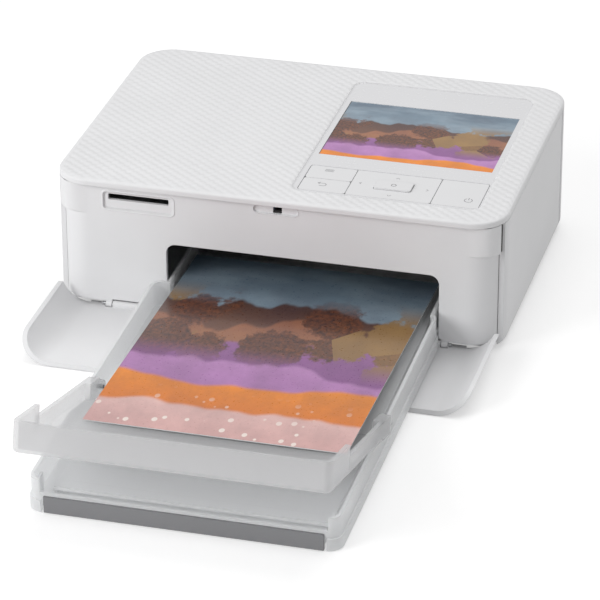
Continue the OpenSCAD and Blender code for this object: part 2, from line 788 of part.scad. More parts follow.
module bottom_plate() {
  color("gainsboro") difference() {
    union() {
      translate([0, 0, foot_gap])
        slab(body_w - 2 * (under_r + seam), body_d - 2 * (under_r + seam), floor_t, corner_r - under_r);
      for (x = screw_xs, y = screw_ys)
        translate([x, y, foot_gap]) cylinder(r = 3, h = 9);
    }
    // The front edge gives way to the front cover's hinge.
    box_at([-half_w, front_y - 1, 0], [half_w, cover_axis_y + barrel_r + 2.6, body_h]);
    for (x = screw_xs, y = screw_ys) {
      translate([x, y, foot_gap - 1]) cylinder(r = 2.2, h = 2.4);
      translate([x, y, foot_gap - 1]) cylinder(r = 1.1, h = 9);
    }
    for (i = [0:floor_vents - 1])
      translate([floor_vent_x + 12 * i, floor_vent_y, 0]) cube([8, 2, foot_gap + floor_t + 1]);
  }
}

module rubber_feet() {
  color("gray") for (x = foot_xs, y = foot_ys)
    translate([x, y, 0]) cylinder(r = foot_r, h = foot_gap);
}

module case_screws() {
  color("silver") for (x = screw_xs, y = screw_ys) {
    translate([x, y, foot_gap]) difference() {
      cylinder(r = 2.1, h = 1.3);
      translate([0, 0, -eps]) cylinder(r = 1, h = 0.7, $fn = 6);
    }
    translate([x, y, foot_gap + 1.2]) cylinder(r = 1.05, h = 5.6);
  }
}

module ink_door() {
  color("whitesmoke") difference() {
    union() {
      intersection() {
        side_skin();
        union() {
          box_at([half_w - under_r, door_front_y, 0], [half_w + 1, door_axis_y, body_h]);
          translate([door_axis_x, door_axis_y, 0]) cylinder(r = wall_t / 2, h = body_h);
        }
      }
      // Stiffening ribs inside the door.
      for (z = [16, 27, 38])
        box_at([half_w - wall_t - 1.2, door_front_y + 6, z],
          [half_w - wall_t + eps, door_axis_y - 10, z + 1]);
    }
    for (z = door_ears) {
      box_at([door_axis_x - 4, door_axis_y - 1.4, z - seam], [half_w + 1, half_d, z + ear_h + seam]);
      translate([door_axis_x, door_axis_y, z - 4.2])
        cylinder(r = door_pin_r + pin_play, h = ear_h + 8.4);
    }
  }
}

module door_hinge_pins() {
  color("silver") for (z = door_ears)
    translate([door_axis_x, door_axis_y, z - 4]) cylinder(r = door_pin_r, h = ear_h + 8);
}

// Inner wall behind the ink door, open where the ink cassette goes in.
module bay_frame() {
  color("gainsboro") difference() {
    union() {
      box_at([bay_x, door_front_y + 2, floor_top + 0.1], [bay_x + 1.4, door_axis_y - 4, wall_top - 2.4]);
      for (y = [lock_y - 5, lock_y + 3.6])
        box_at([bay_x + 1.4 - eps, y, lock_z - 1.6], [bay_x + 2.8, y + 1.4, lock_z + 1.6]);
    }
    translate([bay_x - 1, 0, 0]) ink_outline(0.5, 4);
    rod_y(lock_y - 6, lock_y + 6, bay_x + 2, lock_z, lock_pin_r);
    box_at([bay_x - 1, lock_y - 3.4, lock_z - 8], [bay_x + 3, lock_y + 3.4, lock_z + 2]);
  }
}

module rod_y(y0, y1, x, z, r) {
  translate([x, y0, z]) rotate([-90, 0, 0]) cylinder(r = r, h = y1 - y0);
}

// Lever that keeps the ink cassette in. It tips outward on its pin.
module ink_lock() {
  color("slateblue") {
    rod_y(lock_y - 3, lock_y + 3, bay_x + 2, lock_z, 1.3);
    box_at([bay_x + 0.9, lock_y - 3, lock_z - 9], [bay_x + 2.3, lock_y + 3, lock_z]);
    box_at([bay_x - 0.3, lock_y - 3, lock_z - 9], [bay_x + 1, lock_y + 3, lock_z - 7.6]);
    rod_y(lock_y - 4.6, lock_y + 4.6, bay_x + 2, lock_z, lock_pin_r - pin_play);
  }
}

// The front cover as it stands when it is closed.
module closed_cover() {
  top = wall_top - 0.1;
  difference() {
    union() {
      intersection() {
        difference() {
          slab(body_w, body_d, top, corner_r);
          translate([0, 0, -1])
            slab(body_w - 2 * cover_t, body_d - 2 * cover_t, body_h, corner_r - cover_t);
        }
        box_at([-half_w - 1, front_y - 1, 0.4], [half_w + 1, front_y + cover_wrap, body_h]);
        union() {
          box_at([-half_w - 1, front_y - 1, 0], [half_w + 1, half_d, cover_wrap_top]);
          rod_x(-half_w - 1, half_w + 1, front_y + cover_wrap - wrap_round, cover_wrap_top, wrap_round);
        }
      }
      for (s = [-1, 1]) {
        rod_x(s * barrel_x - barrel_l / 2, s * barrel_x + barrel_l / 2, cover_axis_y, cover_axis_z, barrel_r);
        box_at([s * barrel_x - barrel_l / 2, front_y + cover_t - 0.2, cover_axis_z],
          [s * barrel_x + barrel_l / 2, cover_axis_y, cover_axis_z + barrel_r]);
      }
    }
    // Room for the panel's knuckles and for its corners when the cover lies open.
    for (s = [-1, 1]) {
      box_at([s * knuckle_x - 1.6, front_y - 1, 0],
        [s * knuckle_x + 1.6, front_y + 6, cover_axis_z + barrel_r + 0.3]);
      rod_x(s * knuckle_x - 4, s * knuckle_x + 4, cover_axis_y, cover_axis_z, pin_r + pin_play);
      box_at([s > 0 ? half_w - corner_r + 0.2 : -half_w - 1, front_y - 1, 0],
        [s > 0 ? half_w + 1 : corner_r - half_w - 0.2, front_y + cover_wrap + 1, 1.9]);
    }
  }
}

module front_cover() {
  color("white") translate([0, cover_axis_y, cover_axis_z]) rotate([90, 0, 0])
    translate([0, -cover_axis_y, -cover_axis_z]) closed_cover();
}

module cover_hinge_pins() {
  color("silver") for (s = [-1, 1])
    rod_x(s * knuckle_x - 2.75, s * knuckle_x + 2.75, cover_axis_y, cover_axis_z, pin_r);
}

// Steel side plate of the chassis. Its profile is a list of [front, rear, bottom, top] blocks.
module side_plate(x0, blocks) {
  difference() {
    for (b = blocks)
      box_at([x0, b[0], b[2]], [x0 + plate_t, b[1], b[3]]);
    for (c = [[capstan_y, capstan_z], [pinch_y, pinch_z], [platen_y, platen_z], [pickup_y, pickup_z]])
      rod_x(x0 - 1, x0 + plate_t + 1, c.x, c.y, shaft_r + pin_play);
    rod_x(x0 - 1, x0 + plate_t + 1, head_shaft_y, head_shaft_z, head_shaft_r);
  }
}

module chassis_left() {
  color("silver") {
    difference() {
      side_plate(plate_left_x, [
        [plate_front, half_d - board_gap, chassis_z, chassis_step_z],
        [plate_front + 3, chassis_rear, chassis_step_z - 0.1, tower[3] - 5.2],
        [tower[0], chassis_rear, tower[2], tower[3]],
        [tower[0], tower[1], tower[3] - 7.2, tower[3]]
      ]);
      for (c = [[motor_y, motor_z], [ribbon_motor_y, ribbon_motor_z]])
        rod_x(plate_left_x - 1, 1 - plate_left, c.x, c.y, shaft_r + 1);
      for (c = [[supply_y, supply_z], [takeup_y, takeup_z]])
        rod_x(plate_left_x - 1, 1 - plate_left, c.x, c.y, spindle_r + pin_play);
    }
    // Studs that carry the idler gears.
    for (c = [[idler_a_y, idler_a_z], [idler_b_y, idler_b_z]])
      rod_x(gear_x0 - 0.6, plate_left_x + eps, c.x, c.y, shaft_r);
  }
}

module chassis_right() {
  color("silver") difference() {
    side_plate(plate_right, [
      [plate_front, chassis_rear - 4.4, chassis_z, chassis_step_z],
      [tower[0] - 6, chassis_rear, chassis_step_z - 4, tower[3]],
      [tower[0] - 6, tower[1], tower[3] - 7.2, tower[3]]
    ]);
    translate([plate_right - 1, 0, 0]) ink_outline(0.5, 4);
  }
}

// Cross members that stand on the bottom plate and tie the side plates together.
module chassis_bars() {
  color("silver") for (y = [[-9, 1.5], [20, 46]])
    box_at([-plate_left, y.x, floor_top + 0.1], [plate_right, y.y, floor_top + 1.1]);
}

module main_board() {
  color("darkgreen") {
    translate([board_left, board_front, board_top]) {
      box_at([0, 0, -1.4], [board_right - board_left, board_l, 0]);
      // Processor, memory, driver and a connector.
      for (chip = [[24, 20, 16, 16, 1.2], [22, 50, 11, 12, 1], [50, 40, 10, 16, 1], [46, 10, 18, 8, 2]])
        translate([chip[0], chip[1], -eps]) cube([chip[2], chip[3], chip[4]]);
    }
  }
}

// Direct-current inlet. It stands on the bottom plate, and its barrel fills the rear hole.
module dc_inlet() {
  color("dimgray") difference() {
    union() {
      box_at([inlet_x - 4.8, half_d - wall_t - 14, chassis_z],
        [inlet_x + 4.8, half_d - wall_t - 1.3, inlet_z + 5.5]);
      translate([inlet_x, half_d - 0.3, inlet_z]) rotate([90, 0, 0]) cylinder(r = 4.5, h = 4);
    }
    translate([inlet_x, half_d, inlet_z]) rotate([90, 0, 0]) cylinder(r = 3.2, h = 12);
  }
  color("silver") translate([inlet_x, half_d - wall_t, inlet_z]) rotate([90, 0, 0])
    cylinder(r = 1, h = 10.5);
}

module usb_port() {
  color("silver") difference() {
    translate([usb_x, half_d - wall_t - 0.1, usb_z]) rotate([90, 0, 0]) linear_extrude(8)
      round_rect(9, 3.2, 1.5);
    translate([usb_x, half_d, usb_z]) rotate([90, 0, 0]) linear_extrude(8)
      round_rect(8.3, 2.5, 1.2);
  }
  color("darkgreen") box_at([usb_x - 7, half_d - wall_t - 10, usb_z - 2.8],
    [usb_x + 7, half_d - wall_t - 0.1, usb_z - 1.59]);
}

module paper_motor() {
  color("silver") {
    rod_x(-plate_left, -plate_left + motor_l, motor_y, motor_z, motor_r);
    rod_x(-plate_left + motor_l - eps, -plate_left + motor_l + 1.5, motor_y, motor_z, 3);
  }
}

module motor_pinion() {
  color("gold") gear_x(gear_x0, motor_y, motor_z, pinion_teeth, 0);
  color("silver") rod_x(gear_x1 - eps, -plate_left - 0.3, motor_y, motor_z, shaft_r - 0.3);
}

module idler(y, z, teeth, turn) {
  web_r = pitch_r(teeth) * 0.55;
  color("ivory") difference() {
    gear_x(gear_x0, y, z, teeth, turn);
    rod_x(gear_x0 - 1, gear_x1 + 1, y, z, shaft_r + pin_play);
    for (a = [0:60:300])
      rod_x(gear_x0 - 1, gear_x1 + 1, y + web_r * cos(a), z + web_r * sin(a), pitch_r(teeth) * 0.2);
  }
}

module idler_gear_rear() {
  idler(idler_a_y, idler_a_z, idler_a_teeth, idler_a_turn);
}

module idler_gear_front() {
  idler(idler_b_y, idler_b_z, idler_b_teeth, idler_b_turn);
}

module roller_shaft(y, z, r) {
  rod_x(plate_left_x - 0.6, plate_right + plate_t + 0.6, y, z, r);
}

module capstan_roller() {
  color("silver") {
    roller_shaft(capstan_y, capstan_z, shaft_r);
    rod_x(-plate_left + 3, plate_right - 3, capstan_y, capstan_z, capstan_r - 0.5);
    for (x = tyres)
      rod_x(path_x + x - 9, path_x + x + 9, capstan_y, capstan_z, capstan_r);
    rod_x(gear_x0, plate_left_x - 0.5, capstan_y, capstan_z, shaft_r);
  }
  color("ivory") gear_x(gear_x0, capstan_y, capstan_z, capstan_teeth, capstan_turn);
}

module pinch_roller() {
  color("dimgray") {
    roller_shaft(pinch_y, pinch_z, shaft_r);
    for (x = tyres)
      rod_x(path_x + x - 8, path_x + x + 8, pinch_y, pinch_z, pinch_r);
  }
}

module platen_roller() {
  color("dimgray") {
    roller_shaft(platen_y, platen_z, shaft_r);
    rod_x(path_x - head_w / 2 - 1, path_x + head_w / 2 + 1, platen_y, platen_z, platen_r);
  }
}

module pickup_roller() {
  color("dimgray") {
    roller_shaft(pickup_y, pickup_z, shaft_r);
    for (x = [-16, 16])
      rod_x(path_x + x - 7, path_x + x + 7, pickup_y, pickup_z, pickup_r);
    rod_x(path_x - 30, path_x + 30, pickup_y, pickup_z, shaft_r + 0.8);
  }
}

// Thermal print head: heater bar and heat sink on two arms that tilt about the head shaft.
module print_head() {
  color("silver") difference() {
    union() {
      box_at([path_x - head_w / 2, platen_y - head_d / 2, head_z + 2.4],
        [path_x + head_w / 2, platen_y + head_d / 2, head_z + 6]);
      for (k = [0:4])
        box_at([path_x - head_w / 2, platen_y - head_d / 2 + k * (head_d - 1) / 4, head_z + 6 - eps],
          [path_x + head_w / 2, platen_y - head_d / 2 + k * (head_d - 1) / 4 + 1, head_z + 20]);
      for (x = arm_xs) {
        box_at([x, platen_y - head_d / 2, head_z + 2.4], [x + 2, platen_y + head_d / 2, head_shaft_z + 1.6]);
        box_at([x, platen_y, head_shaft_z - 1.8], [x + 2, head_shaft_y, head_shaft_z + 1.8]);
        rod_x(x, x + 2, head_shaft_y, head_shaft_z, head_shaft_r + 1.4);
      }
      for (s = [-1, 1])
        box_at([path_x + s * (head_w / 2 + 0.8) - 0.9, platen_y - head_d / 2, head_z + 2.4],
          [path_x + s * (head_w / 2 + 0.8) + 0.9, platen_y + head_d / 2, head_z + 6]);
    }
    rod_x(-90, 90, head_shaft_y, head_shaft_z, head_shaft_r + pin_play);
  }
  color("black") box_at([path_x - head_w / 2, platen_y - 3, head_z],
    [path_x + head_w / 2, platen_y + 3, head_z + 2.41]);
}

module head_shaft() {
  color("silver") roller_shaft(head_shaft_y, head_shaft_z, head_shaft_r);
}

module ribbon_motor() {
  color("silver")
    rod_x(-plate_left, motor_l - 2 - plate_left, ribbon_motor_y, ribbon_motor_z, ribbon_motor_r);
}

module ribbon_pinion() {
  color("gold") gear_x(takeup_gear_x0, ribbon_motor_y, ribbon_motor_z, pinion_teeth, ribbon_turn);
  color("silver")
    rod_x(takeup_gear_x1 - eps, -plate_left - 0.3, ribbon_motor_y, ribbon_motor_z, shaft_r - 0.3);
}

// Splined end that turns a spool.
module spline(x0, x1, y, z, r) {
  rod_x(x0, x1, y, z, r - 0.9);
  for (a = [0, 60, 120])
    translate([x0, y, z]) rotate([a, 0, 0]) translate([0, -r, -0.6]) cube([x1 - x0, 2 * r, 1.2]);
}

module takeup_spindle() {
  color("ivory") {
    gear_x(takeup_gear_x0, takeup_y, takeup_z, takeup_teeth, 0);
    rod_x(takeup_gear_x1 - eps, ink_left - 3, takeup_y, takeup_z, spindle_r);
    rod_x(plate_left_x + plate_t + 0.2, ink_left - 3, takeup_y, takeup_z, 4.6);
    spline(ink_left - 3 - eps, ink_left + 4, takeup_y, takeup_z, spline_r);
  }
}

module supply_spindle() {
  color("ivory") {
    rod_x(plate_left_x - 2.2, ink_left - 3, supply_y, supply_z, spindle_r);
    rod_x(plate_left_x - 2.2, plate_left_x - 0.4, supply_y, supply_z, 5);
    rod_x(plate_left_x + plate_t + 0.2, ink_left - 3, supply_y, supply_z, 4.6);
    spline(ink_left - 3 - eps, ink_left + 4, supply_y, supply_z, spline_r);
  }
}

// Outline of the ink cassette seen from its end, grown by a clearance.
module ink_outline(grow, h) {
  rotate([90, 0, 90]) linear_extrude(h) {
    translate([supply_y, supply_z]) circle(tube_r + grow);
    translate([takeup_y, takeup_z]) circle(tube_r + grow);
    translate([supply_y - grow, supply_z - 8 - grow])
      square([takeup_y - supply_y + 2 * grow, 14 + 2 * grow]);
  }
}

module ink_cassette() {
  color("lightsteelblue") difference() {
    union() {
      for (c = [[supply_y, supply_z], [takeup_y, takeup_z]])
        rod_x(ink_left, ink_right, c.x, c.y, tube_r);
      translate([ink_left, 0, 0]) ink_outline(0, ink_end_t);
      translate([ink_right - ink_end_t, 0, 0]) ink_outline(0, ink_end_t);
      translate([ink_right - 16, 0, 0]) ink_outline(-1, 16);
    }
    for (c = [[supply_y, supply_z, 1], [takeup_y, takeup_z, -1]]) {
      rod_x(ink_left + ink_end_t, ink_right - ink_end_t, c.x, c.y, tube_r - ink_wall);
      rod_x(ink_left - 1, ink_right + 1, c.x, c.y, core_r + pin_play);
      // Mouth of the tube where the ribbon runs out to the print head.
      box_at([path_x - ribbon_w / 2 - 1, c.x + min(-1.5 * c.z, 10 * c.z), c.y - tube_r - 1],
        [path_x + ribbon_w / 2 + 1, c.x + max(-1.5 * c.z, 10 * c.z), c.y - 4]);
    }
    // Window for the print head between the tubes.
    box_at([ink_right - 16.5, supply_y + tube_r, 0], [ink_right - 3, takeup_y - tube_r, 29]);
  }
}

module spool(y, z, roll_r) {
  difference() {
    union() {
      rod_x(ink_left + 0.4, ink_right - 0.4, y, z, core_r);
      rod_x(path_x - ribbon_w / 2, path_x + ribbon_w / 2, y, z, roll_r);
    }
    rod_x(ink_left - 1, ink_left + 5, y, z, spline_r - 0.75);
    for (a = [0, 60, 120])
      translate([ink_left - 1, y, z]) rotate([a, 0, 0]) translate([0, -spline_r - 0.15, -0.75])
        cube([6, 2 * spline_r + 0.3, 1.5]);
  }
}

module supply_spool() {
  color("goldenrod") spool(supply_y, supply_z, supply_roll_r);
}

module takeup_spool() {
  color("mediumvioletred") spool(takeup_y, takeup_z, takeup_roll_r);
}

// Point at which a line from p touches the circle of radius r about c, on the side given.
function touch(c, r, p, side) =
  let (d = p - c, a = atan2(d.y, d.x) + side * acos(r / norm(d))) c + polar(r, a);

module strip(p, q, t) {
  n = [p.y - q.y, q.x - p.x] / norm(q - p);
  polygon([p, q, q + t * n, p + t * n]);
}

// Ink ribbon from the supply roll under the head and up to the take-up roll.
module ink_ribbon() {
  t = 0.2;
  lift = 0.35;
  p1 = [platen_y - 5, ribbon_z];
  p2 = [platen_y + 5, ribbon_z];
  p0 = touch([supply_y, supply_z], supply_roll_r + lift, p1, -1);
  p3 = touch([takeup_y, takeup_z], takeup_roll_r + lift, p2, 1);
  color("goldenrod") translate([path_x - ribbon_w / 2, 0, 0]) rotate([90, 0, 90]) linear_extrude(ribbon_w) {
    strip(p0, p1, -t);
    strip(p1 - [0.05, 0], p2 + [0.05, 0], -t);
    strip(p2, p3, -t);
  }
}

// Places children given in the paper cassette's own frame.
module in_tray() {
  translate([tray_x, tray_front_y, tray_lift]) rotate([tray_tilt, 0, 0]) children();
}

// Outline of the cassette seen from above: full width in front of the printer, narrower inside.
module tray_outline(shrink) {
  translate([0, rail_l / 2]) round_rect(tray_w - 2 * shrink, rail_l - 2 * shrink, tray_r - shrink);
  translate([path_x - tray_x - insert_w / 2 + shrink, rail_l / 2])
    square([insert_w - 2 * shrink, tray_l - shrink - rail_l / 2]);
}

module cassette_tray() {
  color("gainsboro", 0.7) difference() {
    in_tray() difference() {
      union() {
        difference() {
          union() {
            linear_extrude(ledge_h) tray_outline(0);
            linear_extrude(tray_h) tray_outline(ledge_in);
          }
          translate([0, 0, tray_inner_z]) linear_extrude(tray_h) tray_outline(tray_wall);
          translate([0, 0, -1]) linear_extrude(tray_under + 1) tray_outline(tray_wall);
        }
        for (x = [-40:20:40])
          box_at([x - 0.6, tray_wall - eps, tray_under - 1.2], [x + 0.6, rail_l - 8, tray_under + eps]);
        // Lugs behind the front corners.
        for (s = [-1, 1])
          box_at([s * lug_x - 0.5, tray_wall - eps, tray_inner_z - eps],
            [s * lug_x + 0.5, tray_wall + 6, tray_h - 1.2]);
      }
      // Front wall between the corners, low enough to show the cover over the sheets.
      box_at([plate_x - plate_w / 2 - 1.5, -1, front_wall_h],
        [plate_x + plate_w / 2 + 1.5, tray_wall + 0.6, tray_h + 1]);
      // Low rear wall that the sheets pass over, and a heel that clears the cover's hinge.
      box_at([-tray_w, tray_l - tray_wall - 1, tray_inner_z + 2], [tray_w, tray_l + 1, tray_h + 1]);
      box_at([-tray_w, rail_l - 6, -1], [tray_w, tray_l + 1, tray_under]);
      // Seat of the grey plate.
      box_at([plate_x - plate_w / 2 - seam, -1, -1], [plate_x + plate_w / 2 + seam, 1.2, plate_h + seam]);
      for (s = [-1, 1])
        box_at([plate_x + s * (plate_w + notch_w) / 2 - notch_w / 2, -1, -1],
          [plate_x + s * (plate_w + notch_w) / 2 + notch_w / 2, tray_wall + 4, plate_h - 1.6]);
      rod_x(-tray_w, tray_w, catcher_hinge, hinge_z, catcher_pin_r);
    }
    // The side walls are cut down to let the catcher lie between their ends.
    in_catcher() box_at([-tray_w, -catcher_l, catch_under - 0.4], [tray_w, -ear_l, 60]);
  }
}

module cassette_front_plate() {
  color("gray") in_tray() {
    box_at([plate_x - plate_w / 2, 0, 0.1], [plate_x + plate_w / 2, 1.1, plate_h]);
  }
}

module inner_lid() {
  x0 = path_x - tray_x;
  color("gainsboro", 0.7) in_tray() difference() {
    union() {
      translate([x0 - lid_w / 2, lid_y0, lid_z]) cube([lid_w, tray_l - lid_y0 - 16, lid_t]);
      translate([x0 - lid_w / 2, lid_y0, lid_z]) cube([lid_w, 5, lid_t + 0.4]);
      // Rounded front edge on which the cover lifts.
      rod_x(x0 - lid_w / 2, x0 + lid_w / 2, lid_y0, lid_z + lid_t / 2, lid_t / 2);
      for (x = [-1, 1])
        box_at([x0 + x * (lid_w / 2 - 0.6) - 0.6, lid_y0, tray_inner_z + 0.1],
          [x0 + x * (lid_w / 2 - 0.6) + 0.6, tray_l - 30, lid_z + eps]);
    }
    // Cut-out in front of the pickup roller.
    translate([x0, tray_l - 16, lid_z - 1]) cylinder(r = 14, h = lid_t + 2);
  }
}

// Sprung plate under the sheets.
module lift_plate() {
  color("gray") in_tray() translate([path_x - tray_x - lift_w / 2, tray_l - lift_l - 10, tray_inner_z + 0.1])
    cube([lift_w, lift_l, lift_t]);
}

module paper_stack() {
  color("white") in_tray()
    translate([path_x - tray_x - card_stock_w / 2, stack_y, tray_inner_z + lift_t + 0.2])
      cube([card_stock_w, card_stock_l, stack_h]);
}

module catcher_hinge_pins() {
  pin_x = arm_x + 0.8;
  color("gray") in_tray() for (s = [-1, 1])
    rod_x(s * pin_x - 1.8, s * pin_x + 1.8, catcher_hinge, hinge_z, catcher_pin_r);
}

// The catcher's shell, open above, with its walls up to the height hi.
module catcher_shell(hi) {
  inner_r = catcher_r - catch_wall;
  translate([0, -catcher_l / 2, catch_under]) difference() {
    tub(catcher_w, catcher_l, hi - catch_under, catcher_r, catcher_round);
    translate([0, 0, catch_floor_t])
      tub(catcher_w - 2 * catch_wall, catcher_l - 2 * catch_wall, hi - catch_under, inner_r,
        inner_r - 0.1);
  }
}

module print_catcher() {
  color("gainsboro", 0.7) in_catcher() difference() {
    union() {
      intersection() {
        catcher_shell(rail_top);
        box_at([-tray_w, -catcher_l - 1, -60], [tray_w, -catch_start, 60]);
      }
      // Front wall, and the raised tabs beside it.
      intersection() {
        catcher_shell(catch_under + catcher_front_h);
        box_at([-tray_w, -catcher_l - 1, -60], [tray_w, -catcher_l + catcher_r, 60]);
      }
      for (s = [-1, 1])
        intersection() {
          catcher_shell(rail_top + tab_h);
          box_at([s * catcher_w / 2 - 8, -catcher_l - 1, -60],
            [s * catcher_w / 2 + 8, -catcher_l + tab_l, 60]);
        }
      // Hinge arms, inside the cassette's walls.
      for (s = [-1, 1]) {
        rod_x(s * arm_x - 0.9, s * arm_x + 0.9, 0, 0, 2.6);
        box_at([s * arm_x - 0.9, -catch_start - 1, -2.6], [s * arm_x + 0.9, 0, 2.6]);
        box_at([s * (arm_x + 1.25) - 2.15, -catch_start - 2, catch_under],
          [s * (arm_x + 1.25) + 2.15, -ear_l - 0.4, rail_top]);
      }
    }
    rod_x(-tray_w, tray_w, 0, 0, catcher_pin_r + pin_play);
    for (s = [-1, 1])
      box_at([s * catcher_w / 2 - 3, -catcher_l + tab_l, catch_floor + 1.2],
        [s * catcher_w / 2 + 3, -catcher_l + tab_l + slit_w, 60]);
  }
}

module in_catcher() {
  in_tray() translate([0, catcher_hinge, hinge_z]) rotate([-catcher_angle - tray_tilt, 0, 0]) children();
}

module photo_print() {
  color("lightsteelblue") translate([path_x, print_back_y, print_back_z]) rotate([-print_tilt, 0, 0])
    box_at([-card_stock_w / 2, -card_stock_l, -print_half], [card_stock_w / 2, 0, print_half]);
}

translate([0, stand_y, 0]) {
  top_cover();
  control_panel();
  screen_module();
  menu_key();
  back_key();
  nav_pad();
  ok_key();
  power_key();
  key_board();
  front_panel();
  card_socket();
  cover_catch();
  left_cover();
  rear_cover();
  bottom_plate();
  rubber_feet();
  case_screws();
  ink_door();
  door_hinge_pins();
  bay_frame();
  ink_lock();
  front_cover();
  cover_hinge_pins();
  chassis_left();
  chassis_right();
  chassis_bars();
  main_board();
  dc_inlet();
  usb_port();
  paper_motor();
  motor_pinion();
  idler_gear_rear();
  idler_gear_front();
  capstan_roller();
  pinch_roller();
  platen_roller();
  pickup_roller();
  print_head();
  head_shaft();
  ribbon_motor();
  ribbon_pinion();
  takeup_spindle();
  supply_spindle();
  ink_cassette();
  supply_spool();
  takeup_spool();
  ink_ribbon();
  cassette_tray();
  cassette_front_plate();
  inner_lid();
  lift_plate();
  paper_stack();
  catcher_hinge_pins();
  print_catcher();
  photo_print();
}
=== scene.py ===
"""Looks of a compact photo printer: its paper cassette is in place and a fresh print lies on the catcher."""
import sys
import logging
import math
from dataclasses import dataclass, field
from enum import Enum
from typing import Any, Iterable, Optional, Sequence

import bpy
import numpy as np
from mathutils import Matrix, Vector


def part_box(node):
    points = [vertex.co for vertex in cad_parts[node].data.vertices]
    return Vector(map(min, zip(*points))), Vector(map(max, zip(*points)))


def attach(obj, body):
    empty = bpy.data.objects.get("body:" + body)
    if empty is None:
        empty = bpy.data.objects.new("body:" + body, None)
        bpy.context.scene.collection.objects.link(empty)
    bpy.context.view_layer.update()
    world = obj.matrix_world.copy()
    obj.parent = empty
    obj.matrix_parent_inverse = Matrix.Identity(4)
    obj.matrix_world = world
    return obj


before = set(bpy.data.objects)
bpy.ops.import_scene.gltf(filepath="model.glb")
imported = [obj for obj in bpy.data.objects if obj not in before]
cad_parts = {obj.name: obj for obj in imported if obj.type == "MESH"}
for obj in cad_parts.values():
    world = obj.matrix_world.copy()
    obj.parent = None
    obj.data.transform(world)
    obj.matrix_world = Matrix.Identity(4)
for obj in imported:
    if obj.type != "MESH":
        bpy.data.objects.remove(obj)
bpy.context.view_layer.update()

log = logging.getLogger("printer")
MM = 0.001
# Sizes and places below are in mm about the middle of the printer's body, which stands this far behind
# the origin.
STAND = np.array([0.0, 84.590, 0.0])
Colour = tuple[float, float, float]


# ---------------------------------------------------------------- shader graphs


class Graph:
    """A material's node tree, with short calls that add and join nodes."""

    def __init__(self, name: str) -> None:
        """Starts a material.

        Args:
            name: name of the new material.
        """
        self.material = bpy.data.materials.new(name)
        self.material.use_nodes = True
        self.tree = self.material.node_tree
        self.tree.nodes.clear()
        self.output = self.tree.nodes.new("ShaderNodeOutputMaterial")
        self.shader = self.tree.nodes.new("ShaderNodeBsdfPrincipled")
        self.join(self.shader.outputs["BSDF"], self.output.inputs["Surface"])

    def join(self, source: Any, target: Any) -> None:
        """Links an output socket to an input socket."""
        self.tree.links.new(source, target)

    def feed(self, socket: Any, value: Any) -> None:
        """Gives an input socket a constant, or joins it to an output socket."""
        if isinstance(value, bpy.types.NodeSocket):
            self.join(value, socket)
        elif isinstance(value, (tuple, list)) and len(value) == 3 and socket.type == "RGBA":
            socket.default_value = (*value, 1.0)
        else:
            socket.default_value = value

    def add(self, kind: str, inputs: Optional[dict[Any, Any]] = None, **settings: Any) -> Any:
        """Adds a node.

        Args:
            kind: node type without the ShaderNode prefix.
            inputs: socket name or index against a constant or a socket.
            settings: the node's own settings.

        Returns:
            The node.
        """
        node = self.tree.nodes.new("ShaderNode" + kind)
        for key, value in settings.items():
            setattr(node, key, value)
        for key, value in (inputs or {}).items():
            self.feed(node.inputs[key], value)
        return node

    def math(self, operation: str, a: Any, b: Any = 0.0, clamp: bool = False) -> Any:
        """Joins one or two numbers by an operation and returns the result's socket."""
        node = self.add("Math", {0: a, 1: b}, operation=operation, use_clamp=clamp)
        return node.outputs[0]

    def position(self, centre: Sequence[float] = (0, 0, 0), turn: Sequence[float] = (0, 0, 0),
                 scale: Sequence[float] = (1, 1, 1)) -> Any:
        """Object coordinates in millimetres about a centre, turned in degrees and scaled.

        Args:
            centre: point that becomes the origin, in mm.
            turn: turn about X, Y and Z in degrees.
            scale: stretch along X, Y and Z.

        Returns:
            A vector socket.
        """
        coords = self.add("TexCoord").outputs["Object"]
        shifted = self.add("Mapping", {
            "Vector": coords,
            "Location": tuple(-(c + s) for c, s in zip(centre, STAND)),
            "Scale": (1 / MM, 1 / MM, 1 / MM),
        })
        turned = self.add("Mapping", {
            "Vector": shifted.outputs[0],
            "Rotation": tuple(math.radians(t) for t in turn),
            "Scale": tuple(scale),
        })
        return turned.outputs[0]

    def noise(self, vector: Any, scale: float, detail: float = 2.0, rough: float = 0.5) -> Any:
        """Smooth noise from 0 to 1 at a scale in cells per mm of the vector."""
        node = self.add("TexNoise", {"Vector": vector, "Scale": scale, "Detail": detail, "Roughness": rough})
        return node.outputs["Fac"]

    def span(self, value: Any, lo: float, hi: float, to_lo: float = 0.0, to_hi: float = 1.0,
             smooth: bool = False) -> Any:
        """Maps a range of numbers to another, held at its ends."""
        node = self.add("MapRange", {
            "Value": value, "From Min": lo, "From Max": hi, "To Min": to_lo, "To Max": to_hi,
        }, interpolation_type="SMOOTHSTEP" if smooth else "LINEAR", clamp=True)
        return node.outputs["Result"]

    def mix(self, factor: Any, a: Any, b: Any, blend: str = "MIX") -> Any:
        """Mixes two colours and returns the colour socket."""
        node = self.add("Mix", data_type="RGBA", blend_type=blend, clamp_factor=True)
        self.feed(node.inputs[0], factor)
        self.feed(node.inputs[6], a)
        self.feed(node.inputs[7], b)
        return node.outputs[2]

    def bump(self, height: Any, distance: float, strength: float = 1.0, normal: Any = None) -> Any:
        """Turns a height from 0 to 1 into a normal.

        Args:
            height: height socket.
            distance: depth of a height of 1, in mm.
            strength: how much of it shows.
            normal: normal that it adds to.

        Returns:
            The normal's socket.
        """
        node = self.add("Bump", {"Height": height, "Distance": distance * MM, "Strength": strength})
        if normal is not None:
            self.join(normal, node.inputs["Normal"])
        return node.outputs["Normal"]


# ---------------------------------------------------------------- finishes


